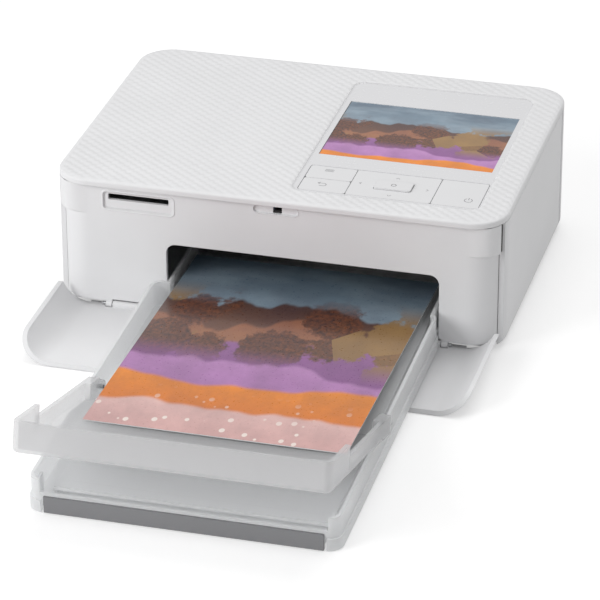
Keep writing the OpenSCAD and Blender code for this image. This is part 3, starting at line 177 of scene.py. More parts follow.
@dataclass(frozen=True)
class Moulded:
    """Moulded plastic: a base colour with a faint mottle, spark-eroded grain and softly rounded edges."""

    name: str
    colour: Colour
    roughness: float = 0.45
    mottle: float = 0.015
    grain_size: float = 0.35
    grain_depth: float = 0.012
    edge: float = 0.25
    coat: float = 0.0
    coat_roughness: float = 0.1
    specular: float = 0.4

    def build(self) -> bpy.types.Material:
        """Returns the finished material."""
        g = Graph(self.name)
        where = g.position()
        cloud = g.noise(where, 0.03, 3.0)
        grain = g.noise(where, 1 / self.grain_size, 3.0, 0.6)
        dark = tuple(c * (1 - self.mottle) for c in self.colour)
        light = tuple(min(1.0, c * (1 + self.mottle)) for c in self.colour)
        g.feed(g.shader.inputs["Base Color"], g.mix(g.span(cloud, 0.35, 0.65), dark, light))
        g.feed(g.shader.inputs["Roughness"],
               g.span(grain, 0.3, 0.7, self.roughness - 0.04, self.roughness + 0.05))
        soft = g.add("Bevel", {"Radius": self.edge * MM}, samples=4).outputs[0]
        g.feed(g.shader.inputs["Normal"], g.bump(grain, self.grain_depth, 0.6, soft))
        g.shader.inputs["Specular IOR Level"].default_value = self.specular
        g.shader.inputs["Coat Weight"].default_value = self.coat
        g.shader.inputs["Coat Roughness"].default_value = self.coat_roughness
        return g.material


@dataclass(frozen=True)
class Frosted:
    """Translucent moulded plastic: a faintly frosted skin through which the pieces behind it show."""

    name: str
    colour: Colour
    roughness: float = 0.3
    passing: float = 0.35
    alpha: float = 0.6

    def build(self) -> bpy.types.Material:
        """Returns the finished material."""
        g = Graph(self.name)
        where = g.position()
        cloud = g.noise(where, 0.04, 3.0)
        frost = g.noise(where, 3.0, 3.0, 0.65)
        dark = tuple(c * 0.97 for c in self.colour)
        g.feed(g.shader.inputs["Base Color"], g.mix(g.span(cloud, 0.3, 0.7), dark, self.colour))
        g.feed(g.shader.inputs["Roughness"],
               g.span(frost, 0.3, 0.7, self.roughness - 0.05, self.roughness + 0.07))
        soft = g.add("Bevel", {"Radius": 0.3 * MM}, samples=4).outputs[0]
        g.feed(g.shader.inputs["Normal"], g.bump(frost, 0.008, 0.4, soft))
        g.shader.inputs["Alpha"].default_value = self.alpha
        spread = g.add("BsdfTranslucent", {"Color": self.colour, "Normal": soft})
        share = self.passing * self.alpha
        both = g.add("MixShader", {0: share, 1: g.shader.outputs[0], 2: spread.outputs[0]})
        g.join(both.outputs[0], g.output.inputs["Surface"])
        return g.material


@dataclass(frozen=True)
class Metal:
    """Rolled, turned or drawn metal with fine lines along one axis."""

    name: str
    colour: Colour
    roughness: float = 0.32
    along: tuple[float, float, float] = (0.03, 1.0, 1.0)

    def build(self) -> bpy.types.Material:
        """Returns the finished material."""
        g = Graph(self.name)
        lines = g.noise(g.position(scale=self.along), 3.0, 4.0, 0.7)
        cloud = g.noise(g.position(), 0.08, 2.0)
        dark = tuple(c * 0.82 for c in self.colour)
        g.feed(g.shader.inputs["Base Color"], g.mix(g.span(cloud, 0.3, 0.7), dark, self.colour))
        g.feed(g.shader.inputs["Roughness"],
               g.span(lines, 0.25, 0.75, self.roughness - 0.1, self.roughness + 0.12))
        g.feed(g.shader.inputs["Normal"], g.bump(lines, 0.01, 0.5))
        g.shader.inputs["Metallic"].default_value = 1.0
        return g.material


@dataclass(frozen=True)
class Board:
    """Circuit board: solder mask over copper tracks, with pads."""

    name: str
    mask: Colour = (0.012, 0.11, 0.05)

    def build(self) -> bpy.types.Material:
        """Returns the finished material."""
        g = Graph(self.name)
        where = g.position()
        tracks = g.add("TexBrick", {
            "Vector": g.position(turn=(0, 0, 45)), "Scale": 0.35, "Mortar Size": 0.045,
            "Color1": (0, 0, 0), "Color2": (0, 0, 0), "Mortar": (1, 1, 1),
        }, offset=0.37).outputs["Color"]
        cells = g.add("TexVoronoi", {"Vector": where, "Scale": 0.4}, feature="F1").outputs["Distance"]
        pads = g.span(cells, 0.10, 0.14, 1.0, 0.0)
        copper = tuple(c * 1.9 + 0.01 for c in self.mask)
        shade = g.mix(tracks, self.mask, copper)
        g.feed(g.shader.inputs["Base Color"], g.mix(pads, shade, (0.62, 0.6, 0.55)))
        g.feed(g.shader.inputs["Metallic"], pads)
        g.feed(g.shader.inputs["Roughness"], g.span(g.noise(where, 2.0), 0.3, 0.7, 0.28, 0.4))
        relief = g.math("ADD", g.math("MULTIPLY", tracks, 0.5), pads)
        g.feed(g.shader.inputs["Normal"], g.bump(relief, 0.05, 0.7))
        return g.material


@dataclass(frozen=True)
class Paper:
    """Coated paper with a soft fibre and, where it is cut, the fine lines of the sheets' edges."""

    name: str
    colour: Colour
    roughness: float = 0.5

    def build(self) -> bpy.types.Material:
        """Returns the finished material."""
        g = Graph(self.name)
        where = g.position()
        fibre = g.noise(g.position(scale=(1, 0.25, 1)), 3.0, 4.0, 0.7)
        edges = g.noise(g.position(scale=(0.01, 0.01, 4.0)), 2.0, 2.0)
        dark = tuple(c * 0.93 for c in self.colour)
        shade = g.mix(g.span(edges, 0.35, 0.65), dark, self.colour)
        cloud = g.span(g.noise(where, 0.04), 0.3, 0.7)
        g.feed(g.shader.inputs["Base Color"], g.mix(cloud, shade, self.colour))
        g.feed(g.shader.inputs["Roughness"],
               g.span(fibre, 0.3, 0.7, self.roughness - 0.05, self.roughness + 0.05))
        g.feed(g.shader.inputs["Normal"], g.bump(fibre, 0.008, 0.4))
        return g.material


@dataclass(frozen=True)
class Ridge:
    """One layer of the landscape: its hilly outline and its colours at the top and further down."""

    level: float
    swing: float
    scale: float
    seed: float
    light: Colour
    dark: Colour


RIDGES = (
    Ridge(0.74, 0.16, 2.6, 3.1, (0.085, 0.045, 0.035), (0.19, 0.085, 0.05)),
    Ridge(0.62, 0.12, 3.4, 11.7, (0.33, 0.13, 0.07), (0.43, 0.2, 0.09)),
    Ridge(0.52, 0.13, 1.7, 23.2, (0.36, 0.15, 0.38), (0.25, 0.09, 0.27)),
    Ridge(0.40, 0.10, 2.2, 31.4, (0.55, 0.27, 0.56), (0.42, 0.18, 0.44)),
    Ridge(0.29, 0.08, 1.5, 47.9, (0.93, 0.30, 0.02), (0.75, 0.19, 0.02)),
    Ridge(0.14, 0.07, 1.9, 58.3, (0.85, 0.56, 0.52), (0.78, 0.44, 0.42)),
)


@dataclass(frozen=True)
class Picture:
    """A made-up landscape: haze, far peaks, clumps of trees, mauve downs, an orange field and pale flowers.

    It reads the piece's own UV map, u to the right and v upwards, each 0 to 1.
    """

    name: str
    zoom: float = 1.0
    shift: float = 0.0
    rise: float = 0.0
    roughness: float = 0.22
    glow: float = 0.0

    def ridge(self, g: Graph, u: Any, v: Any, layer: Ridge, soft: float = 0.012) -> Any:
        """Mask that is 1 under a hilly outline.

        The outline is level + 2 * swing * (noise(scale * u + seed) - 0.5).

        Returns:
            The mask's socket.
        """
        w = g.math("ADD", g.math("MULTIPLY", u, layer.scale), layer.seed)
        line = g.add("TexNoise", {"W": w, "Scale": 1.0, "Detail": 3.0}, noise_dimensions="1D")
        sway = g.math("MULTIPLY", g.math("SUBTRACT", line.outputs["Fac"], 0.5), layer.swing * 2)
        height = g.math("ADD", sway, layer.level)
        return g.span(g.math("SUBTRACT", height, v), -soft, soft, 0.0, 1.0, smooth=True)

    def build(self) -> bpy.types.Material:
        """Returns the finished material."""
        g = Graph(self.name)
        uv = g.add("UVMap").outputs[0]
        parts = g.add("SeparateXYZ", {0: uv})
        u = g.math("ADD", g.math("MULTIPLY", parts.outputs[0], self.zoom), self.shift)
        v = g.math("ADD", g.math("MULTIPLY", parts.outputs[1], self.zoom), self.rise)
        plane = g.add("CombineXYZ", {0: u, 1: v}).outputs[0]
        stretched = g.add("Mapping", {"Vector": plane, "Scale": (1.0, 3.0, 1.0)}).outputs[0]
        cloud = g.noise(stretched, 3.0, 4.0, 0.55)
        sky = g.mix(g.span(v, 0.45, 1.0), (0.36, 0.47, 0.55), (0.13, 0.19, 0.25))
        shade = g.mix(g.span(cloud, 0.42, 0.75, 0.0, 0.45), sky, (0.45, 0.55, 0.62))
        fleck = g.noise(plane, 60.0, 3.0, 0.7)
        for layer in RIDGES:
            mask = self.ridge(g, u, v, layer)
            depth = g.span(g.math("SUBTRACT", layer.level, v), 0.0, 0.22)
            tone = g.mix(depth, layer.light, layer.dark)
            tone = g.mix(g.span(fleck, 0.35, 0.7, 0.0, 0.35), tone, layer.dark)
            shade = g.mix(mask, shade, tone)
        wobble = g.math("MULTIPLY", g.math("SUBTRACT", g.noise(plane, 26.0, 3.0, 0.65), 0.5), 0.42)
        crowns = g.add("TexVoronoi", {"Vector": plane, "Scale": 4.6, "Randomness": 0.9}, feature="F1")
        crown_edge = g.math("ADD", crowns.outputs["Distance"], wobble)
        stand = g.math("MULTIPLY", g.span(v, 0.36, 0.5, 0.0, 1.0, smooth=True),
                       g.span(v, 0.70, 0.86, 1.0, 0.0, smooth=True))
        canopy = g.math("MULTIPLY", g.span(crown_edge, 0.50, 0.60, 1.0, 0.0, smooth=True), stand)
        leaf = g.mix(g.span(fleck, 0.35, 0.68), (0.055, 0.028, 0.022), (0.24, 0.085, 0.035))
        leaf = g.mix(g.span(crowns.outputs["Color"], 0.45, 0.62), leaf, (0.34, 0.20, 0.075))
        shade = g.mix(canopy, shade, leaf)
        dots = g.add("TexVoronoi", {"Vector": plane, "Scale": 22.0, "Randomness": 0.8}, feature="F1")
        folds = g.noise(plane, 5.0, 5.0, 0.6)
        shade = g.mix(g.span(folds, 0.3, 0.7, 0.32, 0.0), shade, (0.05, 0.03, 0.05))
        bloom = g.math("MULTIPLY", g.span(dots.outputs["Distance"], 0.22, 0.26, 1.0, 0.0),
                       g.span(v, 0.06, 0.24, 1.0, 0.0))
        shade = g.mix(bloom, shade, (0.9, 0.78, 0.72))
        g.feed(g.shader.inputs["Base Color"], shade)
        wave = g.noise(g.position(scale=(1, 1, 1)), 1.2, 2.0)
        g.feed(g.shader.inputs["Roughness"],
               g.span(wave, 0.3, 0.7, self.roughness - 0.03, self.roughness + 0.03))
        g.feed(g.shader.inputs["Normal"], g.bump(wave, 0.004, 0.4))
        g.shader.inputs["Coat Weight"].default_value = 0.35
        g.shader.inputs["Coat Roughness"].default_value = 0.12
        if self.glow:
            g.feed(g.shader.inputs["Emission Color"], shade)
            g.shader.inputs["Emission Strength"].default_value = self.glow
        return g.material


@dataclass(frozen=True)
class Film:
    """Dye ribbon film: thin, shiny, with faint bands of colour along its length."""

    name: str
    colour: Colour

    def build(self) -> bpy.types.Material:
        """Returns the finished material."""
        g = Graph(self.name)
        bands = g.noise(g.position(scale=(0.02, 1, 1)), 0.5, 2.0)
        dark = tuple(c * 0.7 for c in self.colour)
        g.feed(g.shader.inputs["Base Color"], g.mix(g.span(bands, 0.35, 0.65), dark, self.colour))
        g.feed(g.shader.inputs["Roughness"], g.span(bands, 0.3, 0.7, 0.16, 0.3))
        g.feed(g.shader.inputs["Normal"], g.bump(bands, 0.05, 0.4))
        g.shader.inputs["Coat Weight"].default_value = 0.5
        return g.material


WHITE = (0.80, 0.80, 0.81)
FINISHES: dict[str, Any] = {
    "white_shell": Moulded("white_shell", WHITE, roughness=0.5, grain_depth=0.015),
    "panel_gloss": Moulded("panel_gloss", (0.80, 0.80, 0.815), roughness=0.24, mottle=0.006, grain_size=1.5,
                           grain_depth=0.004, edge=0.2, coat=0.5, coat_roughness=0.08),
    "screen": Moulded("screen", (0.012, 0.013, 0.016), roughness=0.14, grain_depth=0.002, coat=0.6),
    "keys": Moulded("keys", (0.80, 0.80, 0.81), roughness=0.34, mottle=0.006, grain_depth=0.004, edge=0.25),
    "circuit_board": Board("circuit_board"),
    "steel": Metal("steel", (0.56, 0.57, 0.58)),
    "rubber": Moulded("rubber", (0.022, 0.022, 0.024), roughness=0.75, grain_size=0.25, grain_depth=0.03),
    "gear_plastic": Moulded("gear_plastic", (0.74, 0.71, 0.62), roughness=0.42, edge=0.15),
    "brass": Metal("brass", (0.72, 0.52, 0.22), roughness=0.26),
    "grey_plastic": Moulded("grey_plastic", (0.17, 0.175, 0.185), roughness=0.5),
    "black_plastic": Moulded("black_plastic", (0.012, 0.012, 0.013), roughness=0.48),
    "aluminium": Metal("aluminium", (0.74, 0.75, 0.76), roughness=0.36),
    "frosted_plastic": Frosted("frosted_plastic", (0.84, 0.845, 0.85), passing=0.45, alpha=0.8),
    "clear_plastic": Frosted("clear_plastic", (0.775, 0.775, 0.785), passing=0.5, alpha=0.36),
    "tray_plastic": Frosted("tray_plastic", (0.95, 0.955, 0.96), passing=0.55, alpha=0.78),
    "grey_trim": Moulded("grey_trim", (0.25, 0.25, 0.26), roughness=0.4, grain_size=0.5),
    "card_stock": Paper("card_stock", (0.84, 0.84, 0.83)),
    "photo_paper": Paper("photo_paper", (0.82, 0.82, 0.82), roughness=0.3),
    "ribbon_film": Film("ribbon_film", (0.62, 0.42, 0.04)),
    "ribbon_used": Film("ribbon_used", (0.25, 0.04, 0.14)),
    "cassette_blue": Moulded("cassette_blue", (0.32, 0.38, 0.50), roughness=0.45),
}


@dataclass
class Dressing:
    """Puts the finishes on the printer's own solids."""

    made: dict[str, bpy.types.Material] = field(default_factory=dict)
    other: dict[str, str] = field(default_factory=lambda: {
        "print_catcher": "clear_plastic", "cassette_tray": "tray_plastic", "inner_lid": "tray_plastic"})

    def finish(self, name: str) -> bpy.types.Material:
        """Returns the material of a finish, made on its first use."""
        if name not in self.made:
            self.made[name] = FINISHES[name].build()
        return self.made[name]

    def dress(self) -> int:
        """Gives every slot of every solid the finish of its name.

        Returns:
            How many slots were dressed.
        """
        count = 0
        for node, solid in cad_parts.items():
            for slot in solid.material_slots:
                key = slot.material.name.split(".")[0] if slot.material else "white_shell"
                key = self.other.get(node, key)
                if key not in FINISHES:
                    log.warning("%s: no finish for %s", node, key)
                    key = "white_shell"
                slot.material = self.finish(key)
                count += 1
        return count


# ---------------------------------------------------------------- meshes


def mesh_piece(name: str, points: np.ndarray, faces: Sequence[Sequence[int]], material: bpy.types.Material,
               uv: Optional[np.ndarray] = None, smooth: bool = True) -> bpy.types.Object:
    """Makes an object at the origin from points in mm.

    Args:
        name: piece name.
        points: array of shape (n, 3), in mm about the middle of the body.
        faces: corner indices of each face.
        material: its finish.
        uv: array of shape (n, 2) with a texture place for each point.
        smooth: shades the faces smooth.

    Returns:
        The object.
    """
    mesh = bpy.data.meshes.new(name)
    mesh.from_pydata((points + STAND) * MM, [], faces)
    mesh.polygons.foreach_set("use_smooth", np.full(len(mesh.polygons), smooth))
    if uv is not None:
        layer = mesh.uv_layers.new(name="UVMap")
        corner = np.empty(len(mesh.loops), dtype=np.int64)
        mesh.loops.foreach_get("vertex_index", corner)
        layer.data.foreach_set("uv", uv[corner].astype(np.float32).ravel())
    mesh.materials.append(material)
    mesh.update()
    piece = bpy.data.objects.new(name, mesh)
    bpy.context.scene.collection.objects.link(piece)
    return piece


def grid_faces(rows: int, columns: int, wrap_rows: bool = False, wrap_columns: bool = False) -> np.ndarray:
    """Quads of a grid whose point (i, j) has index i * columns + j."""
    i = np.arange(rows if wrap_rows else rows - 1)
    j = np.arange(columns if wrap_columns else columns - 1)
    a, b = np.meshgrid(i, j, indexing="ij")
    c, d = (a + 1) % rows, (b + 1) % columns
    return np.stack([a * columns + b, c * columns + b, c * columns + d, a * columns + d], -1).reshape(-1, 4)


def bar_mesh(path: np.ndarray, width: float, lo: float, hi: float,
             closed: bool = False) -> tuple[np.ndarray, np.ndarray]:
    """Flat bar that follows a path in the XY plane.

    At each point the side direction is the path's tangent turned by 90 degrees; the four corners of the
    section are the point plus or minus half the width along it, at the heights lo and hi.

    Args:
        path: points of shape (n, 2), in mm.
        width: width of the bar.
        lo: height of its underside.
        hi: height of its top.
        closed: joins the last point to the first.

    Returns:
        Points of shape (4n, 3) and the faces.
    """
    if closed:
        tangent = np.roll(path, -1, 0) - np.roll(path, 1, 0)
    else:
        tangent = np.gradient(path, axis=0)
    tangent /= np.linalg.norm(tangent, axis=1, keepdims=True)
    side = np.stack([-tangent[:, 1], tangent[:, 0]], 1) * width / 2
    n = len(path)
    ring = np.empty((n, 4, 3))
    ring[:, 0] = np.column_stack([path - side, np.full(n, lo)])
    ring[:, 1] = np.column_stack([path + side, np.full(n, lo)])
    ring[:, 2] = np.column_stack([path + side, np.full(n, hi)])
    ring[:, 3] = np.column_stack([path - side, np.full(n, hi)])
    faces = [tuple(int(k) for k in f[::-1]) for f in grid_faces(n, 4, closed, True)]
    if not closed:
        faces += [(0, 1, 2, 3), tuple(4 * (n - 1) + k for k in (3, 2, 1, 0))]
    return ring.reshape(-1, 3), faces


def joined(parts: Iterable[tuple[np.ndarray, Sequence[Sequence[int]]]]
           ) -> tuple[np.ndarray, list[tuple[int, ...]]]:
    """Several meshes as one list of points and one of faces."""
    points, faces, start = [], [], 0
    for p, f in parts:
        points.append(p)
        faces += [tuple(int(k) + start for k in face) for face in f]
        start += len(p)
    return np.concatenate(points), faces


def arc(centre: Sequence[float], radius: float, start: float, stop: float, steps: int = 24,
        squash: float = 1.0) -> np.ndarray:
    """Points of an arc, from one angle in degrees to another."""
    a = np.radians(np.linspace(start, stop, steps))
    return np.column_stack([centre[0] + radius * np.cos(a), centre[1] + radius * squash * np.sin(a)])


def rounded_distance(x: np.ndarray, y: np.ndarray, half_w: float, half_d: float, radius: float) -> np.ndarray:
    """Signed distance to a rounded rectangle about the origin, negative inside.

    It is the length of max(|p| - half + radius, 0) plus the larger of the two, where that is negative, less
    the radius.
    """
    qx, qy = np.abs(x) - half_w + radius, np.abs(y) - half_d + radius
    return np.hypot(np.maximum(qx, 0), np.maximum(qy, 0)) + np.minimum(np.maximum(qx, qy), 0) - radius


# ---------------------------------------------------------------- the printer


@dataclass
class TopRelief:
    """Embossed skin of the top: staggered lozenges around the control panel."""

    half_w: float = 91.1
    half_d: float = 66.5
    radius: float = 14.25
    top: float = 57.6
    step: float = 0.45
    pitch_x: float = 5.16
    pitch_y: float = 4.13
    height: float = 0.3
    rim: float = 0.9
    panel: tuple[float, float, float, float, float] = (41.3, -0.7, 75.5, 107.0, 5.0)

    def build(self, dressing: Dressing) -> bpy.types.Object:
        """Height grid over the top.

        The height is the product of two cosines, which puts a bump on every crossing of the staggered rows;
        near the edges it sinks under the cover's own face.
        """
        x = np.arange(-self.half_w, self.half_w + self.step, self.step)
        y = np.arange(-self.half_d, self.half_d + self.step, self.step)
        gx, gy = np.meshgrid(x, y, indexing="ij")
        outer = rounded_distance(gx, gy, self.half_w, self.half_d, self.radius)
        px, py, pw, pd, pr = self.panel
        inner = rounded_distance(gx - px, gy - py, pw / 2, pd / 2, pr)
        inside = np.minimum(-outer - self.rim, inner - 0.35)
        wave = np.cos(2 * np.pi * gx / self.pitch_x) * np.cos(2 * np.pi * gy / self.pitch_y)
        bump = np.clip(0.5 + 0.72 * wave, 0, 1) ** 1.2
        fade = np.clip(inside / 0.9, -1, 1)
        z = self.top + 0.015 + np.where(fade > 0, self.height * bump * fade, 0.6 * fade)
        points = np.stack([gx, gy, z], -1).reshape(-1, 3)
        faces = grid_faces(len(x), len(y))
        keep = (inside.reshape(-1)[faces] > -0.75).all(1)
        faces = faces[keep]
        used, packed = np.unique(faces, return_inverse=True)
        piece = mesh_piece("top_relief", points[used], packed.reshape(-1, 4).tolist(),
                           dressing.finish("white_shell"))
        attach(piece, "housing")
        return piece


@dataclass
class PictureSkins:
    """The picture on the display and the print on the catcher, each a thin flat skin."""

    screen_x: tuple[float, float] = (6.1, 77.0)
    screen_y: tuple[float, float] = (-19.0, 33.5)
    screen_z: float = 57.06
    sheet_t: float = 0.3
    over: float = 0.03
    inset_x: float = 0.02
    inset_y: float = 0.05

    def screen(self, dressing: Dressing) -> bpy.types.Object:
        """Display picture: a flat grid under the panel's face."""
        u, v = np.meshgrid(np.linspace(0, 1, 13), np.linspace(0, 1, 9), indexing="ij")
        x = self.screen_x[0] + u * (self.screen_x[1] - self.screen_x[0])
        y = self.screen_y[0] + v * (self.screen_y[1] - self.screen_y[0])
        points = np.stack([x, y, np.full_like(x, self.screen_z)], -1).reshape(-1, 3)
        uv = np.stack([u * 1.35, v], -1).reshape(-1, 2)
        look = Picture("screen_picture", zoom=0.8, shift=0.1, rise=0.21, roughness=0.12, glow=0.2).build()
        piece = mesh_piece("screen_picture", points, grid_faces(13, 9).tolist(), look, uv)
        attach(piece, "housing")
        return piece

    def print_face(self) -> bpy.types.Object:
        """Face of the print: a grid 0.03 mm over the sheet, which tilts up towards its front edge."""
        lo, hi = (np.array(c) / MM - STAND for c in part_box("photo_print"))
        tilt = (hi[2] - lo[2] - self.sheet_t) / (hi[1] - lo[1])
        u, v = np.meshgrid(np.linspace(0, 1, 11), np.linspace(0, 1, 15), indexing="ij")
        x = lo[0] + self.inset_x + u * (hi[0] - lo[0] - 2 * self.inset_x)
        y = lo[1] + self.inset_y + v * (hi[1] - lo[1] - 2 * self.inset_y)
        z = hi[2] - (y - lo[1]) * tilt + self.over
        points = np.stack([x, y, z], -1).reshape(-1, 3)
        uv = np.stack([u, v], -1).reshape(-1, 2)
        look = Picture("print_picture", zoom=1.0, roughness=0.3).build()
        piece = mesh_piece("print_picture", points, grid_faces(11, 15).tolist(), look, uv)
        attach(piece, "print")
        return piece


@dataclass
class KeyMarks:
    """Printed marks on the keys."""

    ink: Moulded = Moulded("mark_ink", (0.33, 0.33, 0.34), roughness=0.4)
    thick: float = 0.03
    key_top: float = 57.25
    select_top: float = 57.85

    def mark(self, name: str, body: str, z: float, parts: list[tuple[np.ndarray, float, bool]],
             look: bpy.types.Material) -> bpy.types.Object:
        """Makes one mark of flat bars.

        Args:
            name: piece name.
            body: what it moves with.
            z: height of the face that it lies on.
            parts: path, width and whether it is closed, for each bar.
            look: its material.

        Returns:
            The piece.
        """
        points, faces = joined(bar_mesh(p, w, z - 0.05, z + self.thick, c) for p, w, c in parts)
        piece = mesh_piece(name, points, faces, look, smooth=False)
        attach(piece, body)
        return piece

    def build(self) -> list[bpy.types.Object]:
        """Makes the marks of the five keys."""
        look = self.ink.build()
        power = [(arc((73.1, -46.0), 1.55, 120, 420, 30), 0.28, False),
                 (np.array([[73.1, -45.6], [73.1, -44.7], [73.1, -43.9]]), 0.28, False)]
        bend = np.concatenate([np.array([[12.6, -45.2], [14.4, -45.2]]),
                               arc((15.0, -46.3), 1.1, 85, -90, 12), np.array([[13.4, -47.4]])])
        back = [(bend, 0.26, False),
                (np.array([[13.5, -44.4], [12.5, -45.2], [13.5, -46.0]]), 0.26, False)]
        menu = [(np.array([[12.4, y], [14.2, y], [16.0, y]]), 0.26, False) for y in (-34.1, -33.3, -32.5)]
        ok = [(arc((42.15, -41.2), 0.95, 0, 360 * 23 / 24, 24), 0.3, True)]
        arrows = []
        for x, y, a in ((28.6, -41.2, 180), (55.7, -41.2, 0), (42.15, -33.6, 90), (42.15, -49.6, 270)):
            c, s = math.cos(math.radians(a)), math.sin(math.radians(a))
            tip = np.array([[-0.5, 0.75], [0.35, 0.0], [-0.5, -0.75]]) @ np.array([[c, s], [-s, c]])
            arrows.append((tip + (x, y), 0.22, False))
        return [
            self.mark("power_mark", "power_key", self.key_top, power, look),
            self.mark("return_mark", "back_key", self.key_top, back, look),
            self.mark("menu_mark", "menu_key", self.key_top, menu, look),
            self.mark("select_mark", "ok_key", self.select_top, ok, look),
            self.mark("arrow_marks", "nav_pad", self.key_top, arrows, look),
        ]


@dataclass
class KeyGaps:
    """Light edges of the key mat, seen deep in the gaps around the keys."""

    lo: float = 56.2
    hi: float = 56.92
    width: float = 0.13
    left: float = 6.2
    right: float = 78.1
    rows: tuple[float, ...] = (-29.82, -52.575)
    split: tuple[float, float, float] = (-41.205, 6.2, 24.8)

    def build(self, dressing: Dressing) -> bpy.types.Object:
        """Makes one strip in each long gap."""
        lines = [(y, self.left, self.right) for y in self.rows] + [self.split]
        bars = [bar_mesh(np.array([[a, y], [(a + b) / 2, y], [b, y]]), self.width, self.lo, self.hi)
                for y, a, b in lines]
        piece = mesh_piece("key_mat_edges", *joined(bars), dressing.finish("keys"), smooth=False)
        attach(piece, "housing")
        return piece


@dataclass
class FaceBeads:
    """Fine beads on the front face, around the card slot's recess and the catch window."""

    face_y: float = -64.5

    def outline(self, centre: tuple[float, float], size: tuple[float, float], radius: float) -> np.ndarray:
        """Rounded rectangle in x and z, corner by corner."""
        w, h = size[0] / 2 - radius, size[1] / 2 - radius
        corners = ((w, h, 0), (-w, h, 90), (-w, -h, 180), (w, -h, 270))
        turns = [arc((centre[0] + x, centre[1] + z), radius, a, a + 90, 9) for x, z, a in corners]
        return np.concatenate(turns)

    def bead(self, name: str, path: np.ndarray, width: float, height: float,
             dressing: Dressing) -> bpy.types.Object:
        """Half-round bead along a closed path.

        Its section is a half ellipse: half the width along the path's normal times the cosine, and the height
        out of the face times the sine, with its foot a little under the face.

        Args:
            name: piece name.
            path: closed path of shape (n, 2) in x and z.
            width: width of the bead.
            height: how far it stands out.
            dressing: where its finish comes from.

        Returns:
            The piece.
        """
        tangent = np.roll(path, -1, 0) - np.roll(path, 1, 0)
        tangent /= np.linalg.norm(tangent, axis=1, keepdims=True)
        normal = np.stack([tangent[:, 1], -tangent[:, 0]], 1)
        a = np.linspace(0, np.pi, 9)
        flat = path[:, None, :] + normal[:, None, :] * (np.cos(a) * width / 2)[None, :, None]
        out = np.broadcast_to(self.face_y + 0.03 - (height + 0.03) * np.sin(a), flat.shape[:2])
        points = np.stack([flat[..., 0], out, flat[..., 1]], -1).reshape(-1, 3)
        faces = grid_faces(len(path), len(a), wrap_rows=True)[:, ::-1]
        piece = mesh_piece(name, points, faces.tolist(), dressing.finish("white_shell"))
        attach(piece, "housing")
        return piece

    def build(self, dressing: Dressing) -> list[bpy.types.Object]:
        """Makes both beads."""
        slot = self.outline((-55.6, 48.8), (29.5, 8.3), 1.9)
        window = self.outline((0.5, 52.6), (18.5, 3.7), 1.84)
        return [self.bead("card_slot_bead", slot, 0.9, 0.18, dressing),
                self.bead("catch_window_bead", window, 0.5, 0.14, dressing)]


class Side(Enum):
    """A side of the body, by the sign of x."""

    LEFT = -1
    RIGHT = 1


@dataclass
class CornerLips:
    """Front corners: a lip that swells from the front panel to the side, and a black sheet of painted shade
    deep in the door's finger gap.
    """

    centre: tuple[float, float] = (76.85, -52.25)
    panel_r: float = 12.27
    body_r: float = 14.29
    start: float = -90.0
    full: float = -47.0
    end: float = -29.6
    foot: float = 42.1
    swell: float = 0.75
    head: float = 54.9
    gap_r: float = 13.3
    gap: tuple[float, float] = (-31.0, -18.5)
    gap_foot: float = 42.6

    def wall(self, name: str, side: Side, angle: np.ndarray, radius: np.ndarray, z: np.ndarray,
             look: bpy.types.Material) -> bpy.types.Object:
        """Makes a curved wall about a corner's centre.

        Each point is the centre plus the radius along its angle; the left side is the mirror image.

        Args:
            name: piece name.
            side: which corner.
            angle: grid of angles in degrees, 0 to the side and -90 to the front.
            radius: grid of radii in mm.
            z: grid of heights in mm.
            look: its material.

        Returns:
            The piece.
        """
        a = np.radians(angle)
        x = side.value * (self.centre[0] + radius * np.cos(a))
        points = np.stack([x, self.centre[1] + radius * np.sin(a), z], -1).reshape(-1, 3)
        faces = grid_faces(*angle.shape)
        if side is Side.LEFT:
            faces = faces[:, ::-1]
        piece = mesh_piece(name, points, faces.tolist(), look)
        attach(piece, "housing")
        return piece

    def lip(self, side: Side, dressing: Dressing) -> bpy.types.Object:
        """Lip of one corner.

        Its radius rises from the panel's to the body's by a smooth step along the angle, and from its rounded
        foot by a quarter circle.
        """
        swelling = np.linspace(0, 1, 9) ** 2 * self.swell
        rise = np.concatenate([swelling, np.linspace(self.swell, self.head - self.foot, 12)[1:]])
        angle, up = np.meshgrid(np.linspace(self.start, self.end, 33), rise, indexing="ij")
        t = np.clip((angle - self.start) / (self.full - self.start), 0, 1)
        f = t * t * (3 - 2 * t)
        g = np.sqrt(np.clip(1 - (1 - np.clip(up / self.swell, 0, 1)) ** 2, 0, 1))
        radius = self.panel_r + (self.body_r - self.panel_r) * f * g
        return self.wall(f"corner_lip_{side.name.lower()}", side, angle, radius, self.foot + up,
                         dressing.finish("white_shell"))

    def finger_gap(self, dressing: Dressing) -> bpy.types.Object:
        """Black sheet deep in the finger gap: painted shade that stands in for the gap's dark depth."""
        heights = np.linspace(self.gap_foot, self.head, 9)
        angle, z = np.meshgrid(np.linspace(*self.gap, 9), heights, indexing="ij")
        # The sheet's black finish is painted shade, not a part of the printer.
        return self.wall("finger_gap_shade", Side.RIGHT, angle, np.full_like(angle, self.gap_r), z,
                         dressing.finish("black_plastic"))

    def build(self, dressing: Dressing) -> list[bpy.types.Object]:
        """Makes both lips and the gap's black sheet of painted shade."""
        return [self.lip(side, dressing) for side in Side] + [self.finger_gap(dressing)]


# ---------------------------------------------------------------- the room


